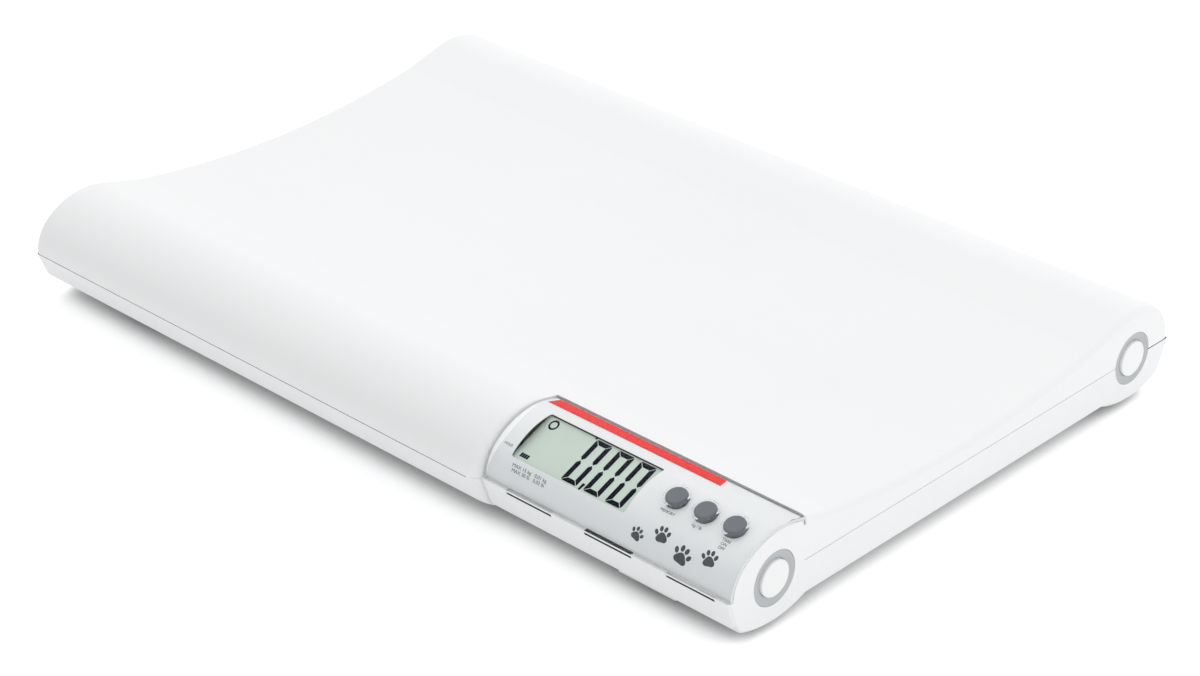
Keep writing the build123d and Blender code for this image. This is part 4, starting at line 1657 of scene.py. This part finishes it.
@dataclass
class Prints:
    """What is printed on the sheet, drawn flat and then laid on the curved face.

    X runs along the length and Y up the section, as they appear through the clear cover. The
    cover bends the light, so each print lies a little to the left of and above where it shows.
    """

    layout: Layout = field(default_factory=Layout)
    height: float = 0.00003
    shift: Point = (-0.0014, 0.0011)
    strip: float = 0.0015
    border_width: float = 0.0036
    border_top: float = 0.0618
    # Text, X, height up the section and size.
    words: tuple[tuple[str, float, float, float], ...] = (
        ("MEMORY", 0.2239, 0.0293, 0.0017),
        ("kg / lb", 0.2444, 0.0293, 0.0018),
        ("TARE", 0.2644, 0.0298, 0.0017),
        ("ON", 0.2644, 0.0273, 0.0017),
        ("OFF", 0.2644, 0.0248, 0.0017),
        ("HOLD", 0.1130, 0.0232, 0.0015),
        ("MAX 15 kg   0,01 kg", 0.1345, 0.0136, 0.0021),
        ("MAX 30 lb   0,02 lb", 0.1345, 0.0106, 0.0021),
    )
    # X, height up the section, size and turn in degrees.
    paws: tuple[tuple[float, float, float, float], ...] = (
        (0.2140, 0.0105, 0.80, -18.0),
        (0.2290, 0.0165, 0.95, 10.0),
        (0.2450, 0.0110, 1.10, -12.0),
        (0.2615, 0.0165, 0.95, 14.0),
    )
    stripe_shape: tuple[Point, ...] = (
        (0.1070, 0.0632), (0.2325, 0.0632), (0.2293, 0.0722), (0.1083, 0.0722),
    )
    border_gap: float = 0.0007
    border_steps: int = 24
    turn_steps: int = 40
    pad_half: Point = (0.0037, 0.0030)
    pad_lobes: Point = (0.10, 0.16)
    pad_drop: float = 0.0018
    toe_half: Point = (0.00115, 0.00175)
    # X and Y of each toe's middle, and its lean in radians.
    toes: tuple[tuple[float, float, float], ...] = (
        (-0.0041, 0.0012, 0.45),
        (-0.0015, 0.0036, 0.14),
        (0.0015, 0.0036, -0.14),
        (0.0041, 0.0012, -0.45),
    )
    type_scale: float = 1.45

    def lay(self, piece: Piece) -> Piece:
        """Cuts a flat print into narrow strips and lays it on the sheet's curve.

        Args:
            piece: The flat print.

        Returns:
            The same piece, in place.
        """
        heights = [vertex.co.y for vertex in piece.obj.data.vertices]
        low, high = min(heights), max(heights)
        piece.edit()
        for i in range(1, int((high - low) / self.strip) + 1):
            bpy.ops.mesh.select_all(action="SELECT")
            bpy.ops.mesh.bisect(plane_co=(0.0, low + i * self.strip, 0.0), plane_no=(0.0, 1.0, 0.0))
        piece.leave()
        inset = self.layout.label_inset - 2 * self.height
        for vertex in piece.obj.data.vertices:
            x, s, _ = vertex.co
            vertex.co = (x + self.shift[0], *self.layout.on_display(s + self.shift[1], inset))
        piece.modifier("SOLIDIFY", thickness=self.height, offset=-1.0)
        return piece

    def stripe(self) -> None:
        """The red stripe along the sheet's upper edge, with a slanted right end."""
        piece = self.lay(flat_shapes("red_stripe", [self.stripe_shape]))
        piece.deliver(RED_PRINT, "label_print", "housing")

    def border(self) -> None:
        """A white crescent along the sheet's left end, beside the rolled lip."""
        start = self.layout.display_start + self.border_gap - self.shift[0]
        steps = self.border_steps
        bulge = [
            (start + self.border_width * sin(pi * i / steps), self.border_top * i / steps)
            for i in range(steps + 1)
        ]
        shape = [(start, 0.0), *bulge, (start, self.border_top)]
        piece = self.lay(flat_shapes("white_border", [shape]))
        piece.deliver(PALE_PRINT, "label_print", "housing")

    def paw(self) -> Piece:
        """Draws one paw print flat: a broad pad and four toes.

        Returns:
            The flat print, on the origin.
        """
        turns = [2 * pi * i / self.turn_steps for i in range(self.turn_steps)]
        (wide, tall), (side_lobe, top_lobe) = self.pad_half, self.pad_lobes
        shapes = [[
            (
                wide * cos(t) * (1 + side_lobe * cos(3 * (t - pi / 2))),
                tall * sin(t) * (1 - top_lobe * sin(3 * t)) - self.pad_drop,
            )
            for t in turns
        ]]
        wide, tall = self.toe_half
        for x, y, lean in self.toes:
            shapes.append([
                (
                    x + wide * cos(t) * cos(lean) - tall * sin(t) * sin(lean),
                    y + wide * cos(t) * sin(lean) + tall * sin(t) * cos(lean),
                )
                for t in turns[::2]
            ])
        return flat_shapes("paw", shapes)

    def trail(self) -> None:
        """A trail of paw prints across the lower right of the sheet."""
        places = [
            Matrix.Translation((x, s, 0.0))
            @ Matrix.Rotation(radians(turn), 4, "Z")
            @ Matrix.Scale(size, 4)
            for x, s, size, turn in self.paws
        ]
        prints = self.paw().copies([f"paw_{i}" for i in range(len(places))], places)
        piece = self.lay(joined("paw_trail", prints))
        piece.deliver(DARK_PRINT, "label_print", "housing")

    def lettering(self) -> None:
        """The plain words beside the buttons and the window."""
        pieces = []
        for text, x, s, size in self.words:
            deselect()
            bpy.ops.object.text_add()
            letters = bpy.context.object
            letters.data.body = text
            letters.data.size = size * self.type_scale
            letters.data.align_x = "CENTER"
            letters.data.align_y = "CENTER"
            activate(letters)
            bpy.ops.object.convert(target="MESH")
            piece = Piece.adopt(bpy.context.object, "words")
            piece.put(Matrix.Translation((x, s, 0.0)))
            pieces.append(piece)
        piece = self.lay(joined("lettering", pieces))
        piece.deliver(DARK_PRINT, "label_print", "housing")

    def build(self) -> None:
        """Prints everything."""
        self.stripe()
        self.border()
        self.trail()
        self.lettering()


# ---------------------------------------------------------------- end plugs


@dataclass
class EndPlugs:
    """The four dished rings and the pale discs inside them."""

    layout: Layout = field(default_factory=Layout)
    steps: int = 96
    ring_outline: tuple[Point, ...] = (
        (0.01085, 0.0), (0.016, 0.0), (0.016, 0.0030), (0.01594, 0.0032), (0.0158, 0.00332),
        (0.0155, 0.00334), (0.0151, 0.00326), (0.0113, 0.00246), (0.0110, 0.00236),
        (0.01085, 0.0022), (0.01085, 0.0),
    )
    disc_outline: tuple[Point, ...] = (
        (0.0, 0.0), (0.0107, 0.0), (0.0107, 0.0036), (0.01062, 0.0039), (0.0104, 0.00410),
        (0.0100, 0.00419), (0.0, 0.0042),
    )

    def places(self) -> list[Matrix]:
        """The pocket floors, each with Z pointing out of the end face."""
        lay = self.layout
        return [
            Matrix.Translation((side * (lay.half_length - lay.pocket_depth), y, lay.parting))
            @ Matrix.Rotation(side * pi / 2, 4, "Y")
            for side in (-1, 1)
            for y in (lay.front_axis, lay.back_axis)
        ]

    def turned(self, name: str, outline: Sequence[Point]) -> Piece:
        """A round piece spun from half its section.

        Args:
            name: The piece's name.
            outline: Radius and height of each corner, in order.

        Returns:
            The piece, standing on the origin.
        """
        piece = Piece(name)
        piece.edit()
        trace([(radius, 0.0, z) for radius, z in outline])
        bpy.ops.mesh.select_all(action="SELECT")
        bpy.ops.mesh.spin(steps=self.steps, angle=2 * pi, center=(0, 0, 0), axis=(0, 0, 1))
        bpy.ops.mesh.select_all(action="SELECT")
        bpy.ops.mesh.remove_doubles(threshold=1e-6)
        face_outwards(piece)
        piece.leave()
        return piece

    def build(self) -> None:
        """Spins one ring and one disc, and copies them into the four pockets."""
        for name, outline, finish, slot, node in (
            ("end_plug_rings", self.ring_outline, RING_PLASTIC, "ring_plastic", "end_rings"),
            ("end_plug_discs", self.disc_outline, DISC_PLASTIC, "disc_plastic", "end_discs"),
        ):
            places = self.places()
            names = [f"{name}_{i}" for i in range(len(places))]
            piece = joined(name, self.turned("plug", outline).copies(names, places))
            piece.smooth(35.0)
            piece.deliver(finish, slot, "housing", node)


# ---------------------------------------------------------------- hidden pieces


@dataclass
class Workings:
    """The pieces inside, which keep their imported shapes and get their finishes."""

    finishes: dict[str, Finish] = field(
        default_factory=lambda: {
            "lcd_reflector": REFLECTOR,
            "lcd_connectors": ELASTIC,
            "display_board": BOARD,
            "key_board": BOARD,
            "board_chips": CHIP,
            "key_switches": DARK_PLASTIC,
            "case_screws": STEEL,
            "load_cells": STEEL,
            "battery_box": DARK_PLASTIC,
            "batteries": BATTERY_CAN,
            "battery_contacts": STEEL,
            "tare_plunger": PLUNGER,
            "unit_plunger": PLUNGER,
            "memory_plunger": PLUNGER,
        }
    )

    def dress(self) -> None:
        """Gives each node its finish."""
        for node, finish in self.finishes.items():
            obj = frame["nodes"][node]
            obj.data.materials.clear()
            obj.data.materials.append(finish.material())
            log.info("%s: %s", node, finish.name)


# ---------------------------------------------------------------- studio


def aimed(place: Sequence[float], direction: Sequence[float]) -> Matrix:
    """The frame at a place whose minus Z points in a direction."""
    turn = Vector(direction).to_track_quat("-Z", "Y")
    return Matrix.Translation(place) @ turn.to_matrix().to_4x4()


@dataclass
class Studio:
    """The floor, the light and the camera."""

    lens: float = 93.56
    sensor: float = 36.0
    camera_place: Place = (1.1346, -1.1805, 0.9190)
    looking: Place = (-0.60174, 0.63150, -0.48899)
    floor_side: float = 12.0
    floor_gap: float = 0.0002
    floor_lift: float = 0.14
    seen_lift: float = 0.22
    contact_reach: float = 0.025
    contact_span: Point = (0.08, 0.5)
    floor_shade: Colour = (0.17, 0.17, 0.17)
    floor_tone: Colour = (0.93, 0.93, 0.93)
    white: Colour = (1.0, 1.0, 1.0)
    sky: float = 0.66
    # Name, place, target, side and power.
    lamps: tuple[tuple[str, Place, Place, float, float], ...] = (
        ("top_softbox", (-0.6, 0.9, 2.2), (0.0, 0.0, 0.0), 2.2, 22.0),
        ("right_softbox", (2.2, 0.3, 1.2), (0.1, 0.0, 0.02), 1.6, 9.3),
    )

    def floor(self) -> None:
        """A large plain white floor that keeps the shadow and can be looked through from below.

        Near the scale it is darkened for the camera alone, which strengthens the contact shadow.
        """
        deselect()
        place = (0.0, 0.0, -self.floor_gap)
        bpy.ops.mesh.primitive_plane_add(size=self.floor_side, location=place)
        floor = bpy.context.object
        floor.name = "floor"
        material = bpy.data.materials.new("pale_floor")
        material.use_nodes = True
        tree = material.node_tree
        near = add_node(tree, "AmbientOcclusion", {"Distance": self.contact_reach}, samples=12)
        low, high = self.contact_span
        span = {"Value": near.outputs["AO"], "From Min": low, "From Max": high}
        steep = add_node(tree, "MapRange", span).outputs["Result"]
        camera_ray = add_node(tree, "LightPath").outputs["Is Camera Ray"]
        unseen = maths(tree, "SUBTRACT", 1.0, camera_ray)
        open_floor = maths(tree, "MAXIMUM", unseen, steep)
        tones = {
            "Factor": open_floor, "A": (*self.floor_shade, 1.0), "B": (*self.floor_tone, 1.0),
        }
        tone = add_node(tree, "Mix", tones, data_type="RGBA")
        seen = maths(tree, "MULTIPLY_ADD", camera_ray, self.seen_lift, self.floor_lift)
        fill(
            tree.nodes["Principled BSDF"],
            {
                "Base Color": tone.outputs["Result"],
                "Roughness": 0.9,
                "Specular IOR Level": 0.1,
                "Emission Color": (*self.white, 1.0),
                "Emission Strength": maths(tree, "MULTIPLY", seen, open_floor),
            },
        )
        let_through(tree, add_node(tree, "NewGeometry").outputs["Backfacing"])
        floor.data.materials.append(material)

    def world(self) -> None:
        """An even pale sky, white where the camera, gloss or glass sees it."""
        world = bpy.data.worlds.new("studio")
        bpy.context.scene.world = world
        world.use_nodes = True
        tree = world.node_tree
        white = (*self.white, 1.0)
        background = tree.nodes["Background"]
        fill(background, {"Color": white, "Strength": self.sky})
        seen = add_node(tree, "Background", {"Color": white, "Strength": 1.0})
        path = add_node(tree, "LightPath")
        most = maths(
            tree, "MAXIMUM", path.outputs["Is Camera Ray"], path.outputs["Is Glossy Ray"]
        )
        more = maths(tree, "MAXIMUM", most, path.outputs["Is Transmission Ray"])
        skies = {"Fac": more, 1: background.outputs[0], 2: seen.outputs[0]}
        mix = add_node(tree, "MixShader", skies)
        fill(tree.nodes["World Output"], {"Surface": mix.outputs[0]})

    def lamp(self, name: str, place: Place, target: Place, size: float, power: float) -> None:
        """One soft square lamp.

        Args:
            name: The lamp's name.
            place: Where it hangs.
            target: Where it points.
            size: Its side.
            power: Its power in watts.
        """
        data = bpy.data.lights.new(name, "AREA")
        data.size = size
        data.energy = power
        lamp = bpy.data.objects.new(name, data)
        lamp.visible_glossy = False
        lamp.visible_transmission = False
        bpy.context.scene.collection.objects.link(lamp)
        lamp.matrix_world = aimed(place, Vector(target) - Vector(place))

    def camera(self) -> None:
        """The camera at the photograph's place."""
        data = bpy.data.cameras.new("camera")
        data.lens = self.lens
        data.sensor_width = self.sensor
        camera = bpy.data.objects.new("camera", data)
        bpy.context.scene.collection.objects.link(camera)
        camera.matrix_world = aimed(self.camera_place, self.looking)
        bpy.context.scene.camera = camera

    def build(self) -> None:
        """Sets up the whole studio."""
        bpy.context.scene.view_settings.view_transform = "Standard"
        self.floor()
        self.world()
        for lamp in self.lamps:
            self.lamp(*lamp)
        self.camera()


def main() -> None:
    """Builds the scale piece by piece and sets up the studio."""
    logging.basicConfig(level=logging.INFO, format="%(message)s")
    Platform().build()
    base = Base()
    base.shell()
    base.feet()
    base.door()
    display = Display()
    display.label()
    Prints().build()
    display.cell()
    display.holder()
    display.segments()
    display.cover()
    display.buttons()
    EndPlugs().build()
    Workings().dress()
    Studio().build()


if __name__ == "__main__":
    main()
